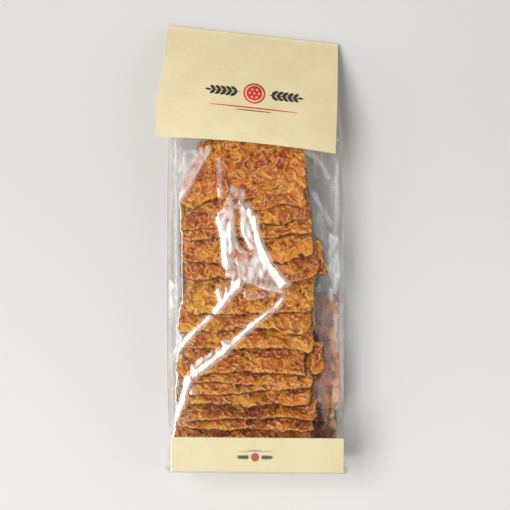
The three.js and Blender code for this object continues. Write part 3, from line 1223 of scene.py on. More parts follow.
def deep_crackers(seed: int = 9) -> tuple[Cracker, ...]:
    """Lays the deep layers.

    Args:
        seed: fixes their small irregularities.

    Returns:
        Their crackers, and the two of DEEP_ENDS.
    """
    draw = np.random.default_rng(seed)
    laid: list[Cracker] = []
    for layer in DEEP_LAYERS:
        laid += layer.lay(len(laid) + 1, draw)
    return (*laid, *DEEP_ENDS)


# ---- Cards -----------------------------------------------------------------------------


def flat_pattern(across: np.ndarray, places: np.ndarray) -> np.ndarray:
    """Unfolds a card whose sections run across it and back.

    Args:
        across: of the points of one side of a section.
        places: how far each section lies along the card.

    Returns:
        Two values for each point of its skin.
    """
    both = np.concatenate([across, across[::-1]])
    return np.column_stack([np.tile(both, len(places)), np.repeat(places, len(both))])


def sharpen_arrises(piece: bpy.types.Object, degrees: float = 40.0) -> None:
    """Sharpens a card's arrises, so that its cut edges shade as flat strips."""
    piece.data.set_sharp_from_angle(angle=math.radians(degrees))


@dataclass(frozen=True)
class HeaderCard:
    """Card folded over the bag's mouth, arched by what it lies on.

    Attributes:
        width: along the fold.
        front: from the fold to the middle of the lower edge, seen from above.
        bow: how much further the ends of the lower edge reach.
        slant: how much further still the left end does.
        back: length of the panel underneath.
        turn: of the fold, about z, in degrees.
        skew: how far off square it was folded, in degrees.
        fold_middle: place of the fold.
        fold_height: across the fold.
        middle_height: top of the lower edge's middle.
        drops: how much lower the left and right ends of that edge are.
        swell: fullness of the slope; 1 is straight.
        thickness: of the card.
        COLUMNS: points along the fold.
        FLAT: length that the front panel has on the card's flat pattern.
    """

    width: float = 120.0
    front: float = 79.1
    bow: float = 1.65
    slant: float = 0.85
    back: float = 62.0
    turn: float = -5.7
    skew: float = 2.6
    fold_middle: tuple[float, float] = (-5.5, 296.0)
    fold_height: float = 4.0
    middle_height: float = 48.5
    drops: tuple[float, float] = (5.0, 4.0)
    swell: float = 1.4
    thickness: float = 0.5

    COLUMNS: ClassVar[int] = 49
    FLAT: ClassVar[float] = 90.0

    def reach(self, across: np.ndarray) -> np.ndarray:
        """How far the front panel reaches from the fold; across runs from -1 to 1."""
        return self.front + self.bow * across * across - self.slant * across

    def height(self, across: np.ndarray, down: np.ndarray) -> np.ndarray:
        """Height of the front panel's upper face; down runs from 0 to 1."""
        drop = np.where(across < 0, *self.drops)
        edge = self.middle_height - drop * across * across
        rise = 1 - (1 - np.clip(down, 0, 1)) ** self.swell
        return self.fold_height + (edge - self.fold_height) * rise

    def directions(self, skew: float) -> tuple[np.ndarray, np.ndarray]:
        """Directions along the fold, and in which a panel's side edges leave it."""
        turn = math.radians(self.turn)
        leave = turn + math.radians(skew) - math.pi / 2
        return (np.array([math.cos(turn), math.sin(turn)]),
                np.array([math.cos(leave), math.sin(leave)]))

    def underside(self, x: np.ndarray, y: np.ndarray) -> np.ndarray:
        """Height just below the front panel's lower face over points of the plan."""
        fold, leave = self.directions(self.skew)
        dx, dy = x - self.fold_middle[0], y - self.fold_middle[1]
        cross = fold[0] * leave[1] - fold[1] * leave[0]
        across = 2 * (dx * leave[1] - dy * leave[0]) / cross / self.width
        below = (fold[0] * dy - fold[1] * dx) / cross
        sloped_thickness = 1.6 * self.thickness
        return self.height(across, below / self.reach(across)) - sloped_thickness

    def front_face(self, across: np.ndarray, down: np.ndarray,
                   lift: np.ndarray) -> np.ndarray:
        """Points on or off the front panel.

        Args:
            across: from -1 to 1.
            down: from 0 at the fold to 1.
            lift: above the upper face, square to it.

        Returns:
            The points.
        """
        fold, leave = self.directions(self.skew)
        reach, step = self.reach(across), 0.005
        rise = self.height(across, down) - self.height(across, down - step)
        slope = np.arctan2(rise, step * reach)
        run = down * reach - lift * np.sin(slope)
        plan = (np.array(self.fold_middle) + (across * self.width / 2)[..., None] * fold
                + run[..., None] * leave)
        z = self.height(across, down) + lift * np.cos(slope)
        return np.concatenate([plan, z[..., None]], axis=-1)

    def printed(self, across: np.ndarray, down: np.ndarray, height: float) -> np.ndarray:
        """Points over the front panel, by their distances from its middle and its fold."""
        share = across / (self.width / 2)
        return self.front_face(share, down / self.reach(share), np.full(share.shape, height))

    def rings(self) -> tuple[np.ndarray, np.ndarray]:
        """Sections of the folded card.

        Returns:
            Rings of points across it, and how far each lies along the unfolded card.
        """
        across = np.linspace(-1, 1, self.COLUMNS)
        back_steps, fold_steps, front_steps = 12, 12, 54
        fold, leave = self.directions(-self.skew)
        _, square = self.directions(0.0)
        radius = self.fold_height / 2
        rows, places = [], []

        def ring(outer: np.ndarray, inner: np.ndarray, place: float) -> None:
            """Keeps one section."""
            rows.append(np.concatenate([outer, inner[::-1]]))
            places.append(place)

        middle = np.array(self.fold_middle)
        width = (across * self.width / 2)[:, None] * fold
        for share in np.linspace(0, 1, back_steps + 1)[:-1]:
            plan = middle + width + self.back * (1 - share) * leave
            sides = [np.column_stack([plan, np.full(len(plan), z)]) for z in (0, self.thickness)]
            ring(*sides, -self.back * (1 - share))
        for angle in np.linspace(-math.pi / 2, -1.5 * math.pi, fold_steps + 1):
            sides = []
            for r in (radius, radius - self.thickness):
                plan = middle + width + math.cos(angle) * r * square
                z = np.full(len(plan), radius + math.sin(angle) * r)
                sides.append(np.column_stack([plan, z]))
            ring(*sides, radius * (-math.pi / 2 - angle))
        for share in np.linspace(0, 1, front_steps + 1)[1:]:
            down = np.full(len(across), share)
            sides = [self.front_face(across, down, np.full(len(across), lift))
                     for lift in (0.0, -self.thickness)]
            ring(*sides, math.pi * radius + share * self.FLAT)
        return np.array(rows), np.array(places)

    def build(self, bench: Bench, finish: CardFinish) -> bpy.types.Object:
        """Makes the card.

        Args:
            bench: places the layout.
            finish: the card's look.

        Returns:
            The piece.
        """
        rings, places = self.rings()
        points, quads = loft(rings)
        flat = flat_pattern(np.linspace(-1, 1, self.COLUMNS) * self.width / 2, places)
        piece = add_piece("header_card_folded", points, quads, bench, finish.material(), flat=flat)
        sharpen_arrises(piece)
        return piece


@dataclass(frozen=True)
class BaseCard:
    """Strip of card bent into a channel round the bag's bottom.

    Attributes:
        width: along the channel.
        depth: between its outer faces.
        flap: how far its flaps reach up the bag.
        bend: outer radius of its bends.
        thickness: of the card.
    """

    width: float = 113.0
    depth: float = 50.0
    flap: float = 23.0
    bend: float = 1.2
    thickness: float = 0.5

    def section(self, inset: float) -> np.ndarray:
        """Line round the channel from the back flap's end to the front flap's, as y and z."""
        line = [(y, inset) for y in np.linspace(self.flap, self.bend, 12)]
        for centre, start in ((self.bend, -math.pi / 2), (self.depth - self.bend, -math.pi)):
            for angle in np.linspace(start, start - math.pi / 2, 7):
                r = self.bend - inset
                line.append((self.bend + math.cos(angle) * r, centre + math.sin(angle) * r))
            if centre == self.bend:
                line += [(inset, z) for z in np.linspace(self.bend, self.depth - self.bend, 20)[1:-1]]
        line += [(y, self.depth - inset) for y in np.linspace(self.bend, self.flap, 12)[1:]]
        return np.array(line)

    def printed(self, across: np.ndarray, down: np.ndarray, height: float) -> np.ndarray:
        """Points over the front flap; across is their x, and down the negative of their y."""
        return np.stack([across, -down, np.full(across.shape, self.depth + height)], axis=-1)

    def build(self, bench: Bench, finish: CardFinish) -> bpy.types.Object:
        """Makes the card.

        Args:
            bench: places the layout.
            finish: the card's look.

        Returns:
            The piece.
        """
        x = np.linspace(-self.width / 2, self.width / 2, 58)
        outer, inner = self.section(0.0), self.section(self.thickness)

        def row(place: np.ndarray) -> np.ndarray:
            """Points across the card at one place of its section."""
            return np.column_stack([x, np.full(len(x), place[0]), np.full(len(x), place[1])])

        rings = np.array([np.concatenate([row(a), row(b)[::-1]]) for a, b in zip(outer, inner)])
        points, quads = loft(rings)
        steps = np.hypot(*np.diff(outer, axis=0).T)
        flat = flat_pattern(x, np.concatenate([[0.0], np.cumsum(steps)]))
        piece = add_piece("base_card_channel", points, quads, bench, finish.material(), flat=flat)
        sharpen_arrises(piece)
        return piece


@dataclass(frozen=True)
class Badge:
    """Print on a card: a round biscuit between two ears of grain, over a thin rule.

    Attributes:
        scale: size of the print; 1 is 66 mm wide.
        middle: its place on the face, in millimetres across and down.
        upside_down: whether it is turned half round.
        ACROSS: points across a shape.
        LIFT: height of the first shape above the card.
        STACK: how much higher each next shape lies.
        SUNK: height of its foot, which is below the card's face.
    """

    scale: float
    middle: tuple[float, float]
    upside_down: bool = False

    ACROSS: ClassVar[int] = 5
    LIFT: ClassVar[float] = 0.07
    STACK: ClassVar[float] = 0.004
    SUNK: ClassVar[float] = -0.12

    def ribbons(self) -> list[tuple[Ink, np.ndarray, np.ndarray]]:
        """Lays out the print's shapes.

        Returns:
            The ink, the left rail and the right rail of each shape.
        """
        shapes = []

        def leaf(ink: Ink, start: tuple[float, float], angle: float, length: float,
                 half: float, power: float = 0.8, steps: int = 9) -> None:
            """Keeps a shape that is widest in its middle."""
            share = np.linspace(0, 1, steps)
            direction = np.array([math.cos(angle), math.sin(angle)])
            side = np.array([-direction[1], direction[0]])
            spine = np.array(start) + share[:, None] * length * direction
            wide = half * np.maximum(np.sin(share * math.pi), 0.0) ** power + 0.03
            shapes.append((ink, spine + wide[:, None] * side, spine - wide[:, None] * side))

        for way in (-1, 1):
            base = math.pi if way < 0 else 0.0
            leaf(Ink.DARK, (way * 9.5, 0.0), base, 21.0, 0.32, 0.3, 12)
            for k in range(5):
                x = way * (11.5 + 3.7 * k)
                for tilt in (-1, 1):
                    leaf(Ink.DARK, (x, 0.35 * tilt), base + tilt * way * 0.62, 5.6 - 0.28 * k, 1.12)
            leaf(Ink.DARK, (way * 29.0, 0.0), base, 4.2, 0.75)
        angle = np.linspace(math.pi, 0, 25)
        for ink, radius in ((Ink.RED, 7.4), (Ink.BARE, 6.2), (Ink.RED, 5.4)):
            rail = radius * np.column_stack([np.cos(angle), np.sin(angle) + 0.004])
            shapes.append((ink, rail, rail * (1, -1)))
        for k in range(7):
            turn = k * math.pi / 3
            x, y = (0.0, 0.0) if k == 6 else (3.1 * math.cos(turn), 3.1 * math.sin(turn))
            dot = 0.62 * np.column_stack([np.cos(angle[::3]), np.sin(angle[::3]) + 0.004])
            shapes.append((Ink.BARE, dot + (x, y), dot * (1, -1) + (x, y)))
        leaf(Ink.RED, (-30.0, -10.6), 0.0, 60.0, 0.38, 0.6, 31)
        leaf(Ink.DARK, (-12.0, -12.6), 0.0, 24.0, 0.22, 0.5, 15)
        return shapes

    def build(self, name: str, card: HeaderCard | BaseCard, bench: Bench,
              finish: CardFinish) -> list[bpy.types.Object]:
        """Prints the badge on a card.

        Args:
            name: start of the pieces' names.
            card: whose front face it goes on.
            bench: places the layout.
            finish: the card's look.

        Returns:
            A piece for each ink.
        """
        share = np.linspace(0, 1, self.ACROSS)[None, :, None]
        way = -1.0 if self.upside_down else 1.0
        meshes: dict[Ink, list[tuple[np.ndarray, np.ndarray, np.ndarray]]] = {}
        for order, (ink, left, right) in enumerate(self.ribbons()):
            flat = (left[:, None, :] * (1 - share) + right[:, None, :] * share) * self.scale * way
            across, down = self.middle[0] + flat[..., 0], self.middle[1] - flat[..., 1]
            top = card.printed(across, down, self.LIFT + self.STACK * order)
            foot = card.printed(across, down, self.SUNK)
            points, quads = loft(np.concatenate([top, foot[:, ::-1]], axis=1))
            uv = np.concatenate([flat, flat[:, ::-1]], axis=1).reshape(-1, 2)
            meshes.setdefault(ink, []).append((points, quads, uv))
        pieces = []
        for ink, parts in meshes.items():
            starts = np.cumsum([0] + [len(points) for points, _, _ in parts[:-1]])
            points = np.concatenate([part[0] for part in parts])
            quads = np.concatenate([part[1] + start for part, start in zip(parts, starts)])
            uv = np.concatenate([part[2] for part in parts])
            label = f"{name}_{ink.name.lower()}"
            pieces.append(add_piece(label, points, quads, bench, finish.material(ink), flat=uv))
        return pieces


# ---- Film ------------------------------------------------------------------------------


@dataclass(frozen=True)
class Crease:
    """A stiff fold that stands off the film, with an even flank that faces the light.

    Attributes:
        path: x and y of points along the middle of the lit flank, from above down or
            from left to right.
        widths: of that flank at the path's two ends.
        pitch: slope of the flank.
        haze: how white the bent film is along the crest, partly its own whitening and partly painted
            highlight.
        STEEP: slope of the flank behind the crest.
        GLOW: painted highlight, how white the film is beside the fold.
        FADE: width over which that fades.
    """

    path: tuple[tuple[float, float], ...]
    widths: tuple[float, float]
    pitch: float = 0.21
    haze: float = 0.2

    STEEP: ClassVar[float] = 0.9
    GLOW: ClassVar[float] = 0.32
    FADE: ClassVar[float] = 2.2

    def lift(self, x: np.ndarray, y: np.ndarray) -> tuple[np.ndarray, np.ndarray]:
        """Shape of the fold over the film's points.

        Args:
            x: of the points.
            y: of the points.

        Returns:
            How far it lifts them, and how white it makes them, partly as painted highlight.
        """
        nearest, offset = np.full(x.shape, np.inf), np.zeros(x.shape)
        ended = np.zeros(x.shape)
        total = sum(math.dist(a, b) for a, b in zip(self.path, self.path[1:]))
        done = 0.0
        for (ax, ay), (bx, by) in zip(self.path, self.path[1:]):
            run = (bx - ax, by - ay)
            length = math.hypot(*run)
            t = np.clip(((x - ax) * run[0] + (y - ay) * run[1]) / length ** 2, 0, 1)
            dx, dy = x - ax - t * run[0], y - ay - t * run[1]
            away = np.hypot(dx, dy)
            closer = away < nearest
            rightward = np.sign(dy * run[0] - dx * run[1])
            if by > ay or (bx - ax) > abs(by - ay):
                rightward = -rightward
            offset = np.where(closer, rightward * away, offset)
            ended = np.where(closer, done + t * length, ended)
            nearest = np.where(closer, away, nearest)
            done += length
        lit = self.widths[0] + (self.widths[1] - self.widths[0]) * ended / total
        lit = np.maximum(lit * (1 + 0.2 * np.sin(ended / 2.7) * np.sin(ended / 7.1)), 0.8)
        rise = lit * self.pitch
        flank = np.clip((offset + lit / 2) / lit, 0, 1)
        fall = np.clip(1 - (offset - lit / 2) * self.STEEP / rise, 0, 1)
        taper = ease(np.minimum(ended, total - ended) / min(4.0, total / 4) + 0.15)
        inside = np.clip(1.5 - (nearest - lit / 2 - 1.0), 0, 1)
        lift = rise * taper * flank * fall * inside
        # Whitening along the crest and beside the fold: partly the film's own, partly painted highlight.
        crest = np.clip(1 - np.abs(offset - lit / 2) / 1.1, 0, 1) * (nearest < lit)
        glow = self.GLOW * ease(1 - (nearest - lit / 2) / self.FADE)
        return lift, np.maximum(self.haze * crest, glow) * taper


FILM_CREASES = (
    # The crumpled fold at the top: its left strands, its top and its bright right edge.
    Crease(((-27.9, 168.4), (-25.4, 161.1), (-23.2, 151.5), (-22.5, 141.4), (-21.0, 132.5)), (2.8, 3.6)),
    Crease(((-19.6, 165.3), (-19.9, 156.7), (-19.2, 149.4), (-19.9, 141.5), (-20.6, 134.2)), (3.0, 3.8)),
    Crease(((-18.2, 170.4), (-17.7, 160.4), (-16.6, 153.1), (-14.4, 147.9), (-10.2, 144.2), (-6.8, 140.6)),
           (1.4, 1.4)),
    Crease(((-28.7, 168.8), (-20.6, 172.0), (-12.0, 176.2)), (1.4, 2.0)),
    Crease(((-11.3, 165.2), (-10.1, 156.7), (-6.8, 150.8), (-3.1, 145.0)), (2.0, 2.6)),
    Crease(((-11.2, 175.7), (-7.7, 173.7), (-5.4, 166.4)), (3.4, 3.4)),
    Crease(((-4.4, 170.7), (-3.9, 164.0), (-2.0, 156.7), (-0.2, 149.4), (3.1, 141.4), (7.8, 134.1),
           (13.7, 126.0), (17.7, 120.1)), (3.6, 6.4), 0.23),
    Crease(((-0.1, 136.9), (4.6, 126.8), (8.4, 122.9)), (1.4, 1.4)),
    Crease(((-15.5, 143.5), (-14.1, 138.4), (-11.2, 136.2), (-6.0, 135.6), (-3.1, 134.4)), (1.4, 1.4)),
    Crease(((-1.8, 123.7), (6.4, 121.6), (12.2, 120.5), (17.6, 119.8)), (1.4, 3.6), 0.15, 0.75),
    Crease(((-7.4, 131.6), (-4.7, 127.7), (-0.8, 124.4)), (1.2, 1.2)),
    Crease(((-1.4, 130.3), (-4.7, 125.7), (-8.0, 123.7)), (1.2, 1.2)),
    Crease(((-21.8, 130.3), (-17.2, 130.0), (-14.3, 128.7)), (1.4, 2.4)),
    # The fold that runs on from it to the left side, and its short wing.
    Crease(((-13.0, 128.5), (-14.8, 121.6), (-20.6, 115.0), (-25.8, 108.5), (-29.8, 103.7)), (5.0, 3.2)),
    Crease(((-27.4, 120.4), (-25.8, 115.2), (-24.5, 110.6)), (2.4, 1.6)),
    Crease(((-29.8, 103.7), (-37.8, 96.2), (-45.5, 88.0), (-52.1, 80.8), (-57.0, 74.9), (-59.6, 73.1)),
           (2.0, 2.6)),
    # The long fold from the same corner down to the base card.
    Crease(((17.8, 116.8), (11.5, 108.8), (4.9, 103.9), (-3.9, 96.8), (-11.5, 89.7), (-19.2, 82.5),
           (-27.9, 74.9), (-37.0, 67.8), (-44.2, 62.6)), (2.0, 4.4), 0.27),
    Crease(((-28.1, 78.7), (-33.7, 74.7), (-38.3, 71.4), (-43.5, 67.5)), (1.2, 1.8)),
    Crease(((-24.5, 85.9), (-20.5, 84.9), (-17.2, 85.4)), (1.6, 2.0)),
    Crease(((-44.2, 64.5), (-46.5, 57.9), (-47.5, 54.0), (-49.3, 45.3), (-54.3, 33.2), (-56.4, 27.0)),
           (4.0, 1.2), haze=0.3),
    # Folds beside the row.
    Crease(((-33.3, 214.5), (-42.9, 197.4), (-53.1, 177.7)), (2.0, 2.4), 0.18, 0.6),
    Crease(((-40.3, 210.5), (-49.0, 196.4), (-55.1, 184.7)), (1.6, 1.8), 0.2, 0.4),
    Crease(((28.4, 213.1), (38.8, 207.4), (43.2, 201.7), (47.1, 192.0)), (1.4, 1.4), haze=0.4),
    Crease(((34.6, 186.0), (40.5, 175.0), (49.1, 162.2)), (1.4, 1.2), haze=0.35),
    Crease(((48.3, 158.2), (48.1, 149.1), (46.5, 140.8)), (2.6, 2.0), haze=0.5),
    Crease(((51.0, 157.0), (51.6, 148.0), (50.0, 140.0)), (1.8, 1.6), haze=0.5),
    Crease(((45.2, 137.5), (48.4, 133.2), (50.6, 126.0)), (2.2, 1.6), haze=0.4),
    Crease(((48.4, 122.5), (47.6, 117.2), (48.6, 113.0)), (1.6, 1.6), haze=0.5),
    Crease(((55.4, 112.7), (55.8, 79.2), (56.2, 45.7)), (1.4, 1.4), haze=0.35),
    Crease(((51.6, 106.0), (51.4, 92.0), (52.2, 80.0)), (1.2, 1.2), haze=0.3),
)
"""Folds of the front sheet, as the photograph shows them."""


@dataclass(frozen=True)
class Veil:
    """Patch of finely crumpled film, whitened partly as painted reflection.

    Attributes:
        outline: x and y of its corners.
        crumple: height of its crinkles.
        haze: how white it is, partly painted reflection.
        soft: width over which it fades at its edge.
    """

    outline: tuple[tuple[float, float], ...]
    crumple: float
    haze: float
    soft: float = 3.0

    def share(self, x: np.ndarray, y: np.ndarray) -> np.ndarray:
        """How far inside the patch points are, from 0 to 1."""
        inside = np.zeros(x.shape, dtype=bool)
        away = np.full(x.shape, np.inf)
        corners = self.outline
        for (ax, ay), (bx, by) in zip(corners, corners[1:] + corners[:1]):
            spans = (ay > y) != (by > y)
            cross = (bx - ax) * (y - ay) / (by - ay if by != ay else 1e-9) + ax
            inside ^= spans & (x < cross)
            run = (bx - ax, by - ay)
            t = np.clip(((x - ax) * run[0] + (y - ay) * run[1]) / (run[0] ** 2 + run[1] ** 2), 0, 1)
            away = np.minimum(away, np.hypot(x - ax - t * run[0], y - ay - t * run[1]))
        return ease(np.where(inside, away, 0) / self.soft)


FILM_VEILS = (
    Veil(((-27.5, 172), (-16, 176), (-16, 152), (-12, 128), (-22.5, 128), (-24.5, 150)), 0.05, 0.75, 2),
    Veil(((-14, 177), (-4, 172), (-2, 160), (6, 138), (14, 121), (-2, 123), (-8, 148), (-13, 160)), 0.05,
         0.72, 2.5),
    Veil(((-22, 146), (-4, 142), (12, 121), (-2, 121), (-22, 128)), 0.05, 0.62),
    Veil(((-28, 124), (-13, 130), (-14, 118), (-24.5, 106)), 0.12, 0.35, 2.5),
    Veil(((-12, 121), (18, 119), (6, 113), (-10, 112)), 0.10, 0.22, 3),
    Veil(((-46, 70), (-18, 88), (-12, 86), (-42, 62)), 0.10, 0.25, 2),
    Veil(((-32, 216), (-53.5, 179), (-57.5, 186), (-40, 214)), 0.06, 0.5, 1.2),
    Veil(((-36, 213), (-56.5, 186), (-61, 200), (-52, 214)), 0.10, 0.42, 3),
    Veil(((-62, 220), (-53, 216), (-56, 170), (-62, 150)), 0.12, 0.35, 3),
    Veil(((45, 160), (54.5, 156), (56, 128), (51, 112), (44, 134)), 0.3, 0.7),
    Veil(((-61, 127), (-54, 124), (-55.5, 104), (-61, 98)), 0.2, 0.8, 2),
    Veil(((-54, 94), (-48, 92), (-52.5, 78), (-57.5, 75)), 0.15, 0.6, 1.5),
    Veil(((-20, 190), (-8, 186), (-8, 172), (-26, 170)), 0.10, 0.34, 3),
    Veil(((-30, 207), (-24, 208), (-23, 178), (-28, 178)), 0.10, 0.3, 2.5),
    Veil(((-46, 62), (-38, 62), (-38, 48), (-46, 50)), 0.12, 0.16, 2.5),
)
# Crumpled patches of the front sheet, whitened partly with painted reflection.
"""Crumpled patches of the front sheet."""


class Waves(Enum):
    """Seed of each noise in the film."""

    FINE = 41
    COARSE = 43
    LEFT = 47
    RIGHT = 53


@dataclass(frozen=True)
class FilmBag:
    """Clear film drawn over the crackers and round the base card, up into the header card.

    Attributes:
        end: y of the film's bottom, just outside the base card.
        mouth: y of its mouth, inside the header card's fold.
        cell: space between the mesh's rows.
        columns: points across the front sheet.
        left: (y, x) of its left side.
        right: (y, x) of its right side.
        sides: (y, z) of the front sheet's side edges.
        gap: between the film and what it lies on.
        side_steps: points from a side edge to the tuck halfway down the side.
        BAY: rows; the film spans gaps in the row's left side up to twice as long.
        SHOWN: height above which crackers belong to the row that shows.
        ABOVE_ROW: how far it spans the row above its highest edges.
        ON_FLAP: how far the film lies off the base card's front flap.
        FALL: slope at which it leaves that flap.
        UNDER_HEADER: y from which it is under the header card.
        BELOW_HEADER: how far it lies off that card.
        PINCHED: least height that the header card leaves it.
        MOUTH: height of its front sheet at its mouth.
        ROUNDS: how often the sheet is drawn tighter.
    """

    end: float = -0.35
    mouth: float = 286.0
    cell: float = 0.9
    columns: int = 133
    left: tuple[tuple[float, float], ...] = (
        (0, -57.2), (23.6, -57.2), (32, -59.0), (70, -61.0), (130, -62.1), (225, -62.6),
        (286, -60.0))
    right: tuple[tuple[float, float], ...] = (
        (0, 57.2), (23.6, 57.2), (32, 56.8), (70, 57.5), (130, 57.9), (190, 57.0),
        (225, 56.5), (286, 51.0))
    sides: tuple[tuple[float, float], ...] = (
        (0, 50.1), (23.6, 50.1), (30, 44.0), (70, 36.0), (130, 31.0), (190, 27.0), (225, 20.0),
        (286, 2.6))
    gap: float = 0.45
    side_steps: int = 8

    BAY: ClassVar[int] = 17
    SHOWN: ClassVar[float] = 36.0
    ABOVE_ROW: ClassVar[float] = 0.35
    ON_FLAP: ClassVar[float] = 0.25
    FALL: ClassVar[float] = 0.09
    UNDER_HEADER: ClassVar[float] = 205.0
    BELOW_HEADER: ClassVar[float] = 0.35
    PINCHED: ClassVar[float] = 1.2
    MOUTH: ClassVar[float] = 3.0
    ROUNDS: ClassVar[int] = 900

    def grid(self) -> tuple[np.ndarray, np.ndarray]:
        """Plan of the front sheet's points, as x and y by row and column."""
        rows = round((self.mouth - self.end) / self.cell) + 1
        y = np.linspace(self.end, self.mouth, rows)
        share = np.linspace(0, 1, self.columns)[None, :]
        low, high = along(self.left, y)[:, None], along(self.right, y)[:, None]
        return low + (high - low) * share, np.repeat(y[:, None], self.columns, axis=1)

    def contents(self, rows: int, columns: int, bench: Bench,
                 crackers: list[bpy.types.Object]) -> np.ndarray:
        """Heights of the crackers under the front sheet's points.

        Args:
            rows: of those points.
            columns: of those points.
            bench: places the layout.
            crackers: pieces in the bag.

        Returns:
            The heights, 0 where there is nothing.
        """
        heights = np.zeros((rows, columns))
        for cracker in crackers:
            mesh = cracker.data
            points = np.empty(len(mesh.vertices) * 3)
            mesh.vertices.foreach_get("co", points)
            points = (points.reshape(-1, 3) - (bench.x, bench.y, 0.0)) / MM
            row = (points[:, 1] - self.end) / (self.mouth - self.end) * (rows - 1)
            low = along(self.left, points[:, 1])
            column = (points[:, 0] - low) / (along(self.right, points[:, 1]) - low) * (columns - 1)
            for up in (np.floor, np.ceil):
                for over in (np.floor, np.ceil):
                    j = np.clip(up(row).astype(int), 0, rows - 1)
                    i = np.clip(over(column).astype(int), 0, columns - 1)
                    np.maximum.at(heights, (j, i), points[:, 2])
        return heights

    def row_sides(self, x: np.ndarray, heights: np.ndarray) -> tuple[np.ndarray, ...]:
        """Finds the row of crackers that shows.

        Args:
            x: of the front sheet's points.
            heights: of the crackers.

        Returns:
            The x of the row's left and right ends and its height, by row of points.
        """
        shown = heights > self.SHOWN
        rows = np.arange(len(x))
        full = shown.sum(axis=1) > 8
        first, last = np.argmax(shown, axis=1), x.shape[1] - 1 - np.argmax(shown[:, ::-1], axis=1)
        left, right, top = (np.interp(rows, rows[full], values[full])[:, None]
                            for values in (x[rows, first], x[rows, last], heights.max(axis=1)))
        outermost = -close_gaps(-left, self.BAY)
        return soften(outermost, 6), soften(right, 6), soften(close_gaps(top, 9), 160)

    def drape(self, x: np.ndarray, y: np.ndarray, heights: np.ndarray,
              header: HeaderCard, base: BaseCard) -> np.ndarray:
        """Draws the front sheet tight over what is under it.

        Args:
            x: of its points.
            y: of its points.
            heights: of the crackers.
            header: whose front panel it stays under.
            base: whose front flap it lies on.

        Returns:
            The sheet's heights.
        """
        left, right, top = self.row_sides(x, heights)
        on_row = (x > left) & (x < right) & (heights.max(axis=1) > self.SHOWN)[:, None]
        off_flap = base.depth - 0.3 - self.FALL * (y - base.flap)
        raised = np.where(on_row, np.maximum(top + self.ABOVE_ROW, off_flap), heights)
        floor = np.where(heights > 0, raised + self.gap, 0.0)
        on_flap = y < base.flap + 0.5
        floor = np.where(on_flap, base.depth + self.ON_FLAP, floor)
        card = header.underside(x, y) - self.BELOW_HEADER
        ceiling = np.where(y > self.UNDER_HEADER, np.maximum(card, self.PINCHED), np.inf)
        edge = along(self.sides, y[:, 0])
        sheet = np.maximum(floor, edge[:, None])
        for _ in range(self.ROUNDS):
            around = sheet[:-2, 1:-1] + sheet[2:, 1:-1] + sheet[1:-1, :-2] + sheet[1:-1, 2:]
            sheet[1:-1, 1:-1] = around / 4
            sheet = np.minimum(np.maximum(sheet, floor), ceiling)
            sheet[:, 0] = sheet[:, -1] = edge
            sheet[-1, :] = self.MOUTH
        return np.where(on_flap, base.depth + self.ON_FLAP, sheet)

    def crumple(self, x: np.ndarray, y: np.ndarray, sheet: np.ndarray,
                heights: np.ndarray) -> tuple[np.ndarray, np.ndarray, np.ndarray]:
        """Adds folds and crinkles to the front sheet.

        Args:
            x: of its points.
            y: of its points.
            sheet: its heights.
            heights: of the crackers.

        Returns:
            The new heights, how white each point is, partly as painted highlight and reflection, and how
            slack it is.
        """
        haze = np.zeros(x.shape)
        lift = np.zeros(x.shape)
        for crease in FILM_CREASES:
            rise, white = crease.lift(x, y)
            lift = np.maximum(lift, rise)
            haze = np.maximum(haze, white)
        fine, coarse = Bumps(Waves.FINE.value), Bumps(Waves.COARSE.value)
        for veil in FILM_VEILS:
            share = veil.share(x, y)
            wave = fine.at(x * 1.3, y * 0.6, 2.6) + 0.8 * coarse.at(x * 1.2, y * 0.5, 5.5)
            lift += veil.crumple * share * (1.2 + wave)
            haze = np.maximum(haze, veil.haze * share * (0.7 + 0.5 * np.clip(wave, -1, 1)))
        left, right, _ = self.row_sides(x, heights)
        aside = ease(np.maximum(left - x, x - right) / 3.0)
        edges = ease(np.minimum(x - x[:, :1], x[:, -1:] - x) / 2.0)
        streaks = coarse.at(x * 1.9, y * 0.35 + 31, 6.0) + 0.6 * fine.at(x * 1.7, y * 0.5, 3.6)
        # The film is held flat on the base card's flap and under the header card.
        free = ease((y - 25.0) / 6.0) * (1 - ease((y - 235.0) / 30.0))
        loose = 0.02 * (1.0 + coarse.at(x * 1.5 + 40, y * 0.45, 8.0))
        loose = loose + 0.55 * aside * edges * (1.0 + streaks)
        # Whitish streaks on the slack film beside the row, partly painted reflection.
        haze = np.maximum(haze, 0.22 * aside * np.clip(streaks, 0, 1))
        slack = np.maximum(aside, np.clip(haze * 3, 0, 1))
        return sheet + (lift + loose) * free, haze * free, 0.08 + 0.92 * slack * free

    def wall(self, edge: np.ndarray, foot_z: np.ndarray, y: np.ndarray,
             outward: float) -> tuple[np.ndarray, np.ndarray]:
        """Side of the bag, from the front sheet's edge down to its tuck, and on to the back.

        Args:
            edge: the edge's points by row.
            foot_z: height of the back sheet's edge by row.
            y: of the rows.
            outward: -1 on the left and 1 on the right.

        Returns:
            The points from the edge to the tuck, and from the back's edge up to the tuck,
            by row and step.
        """
        share = np.linspace(0, 1, 2 * self.side_steps + 1)[None, :]
        drop = edge[:, 2] - foot_z
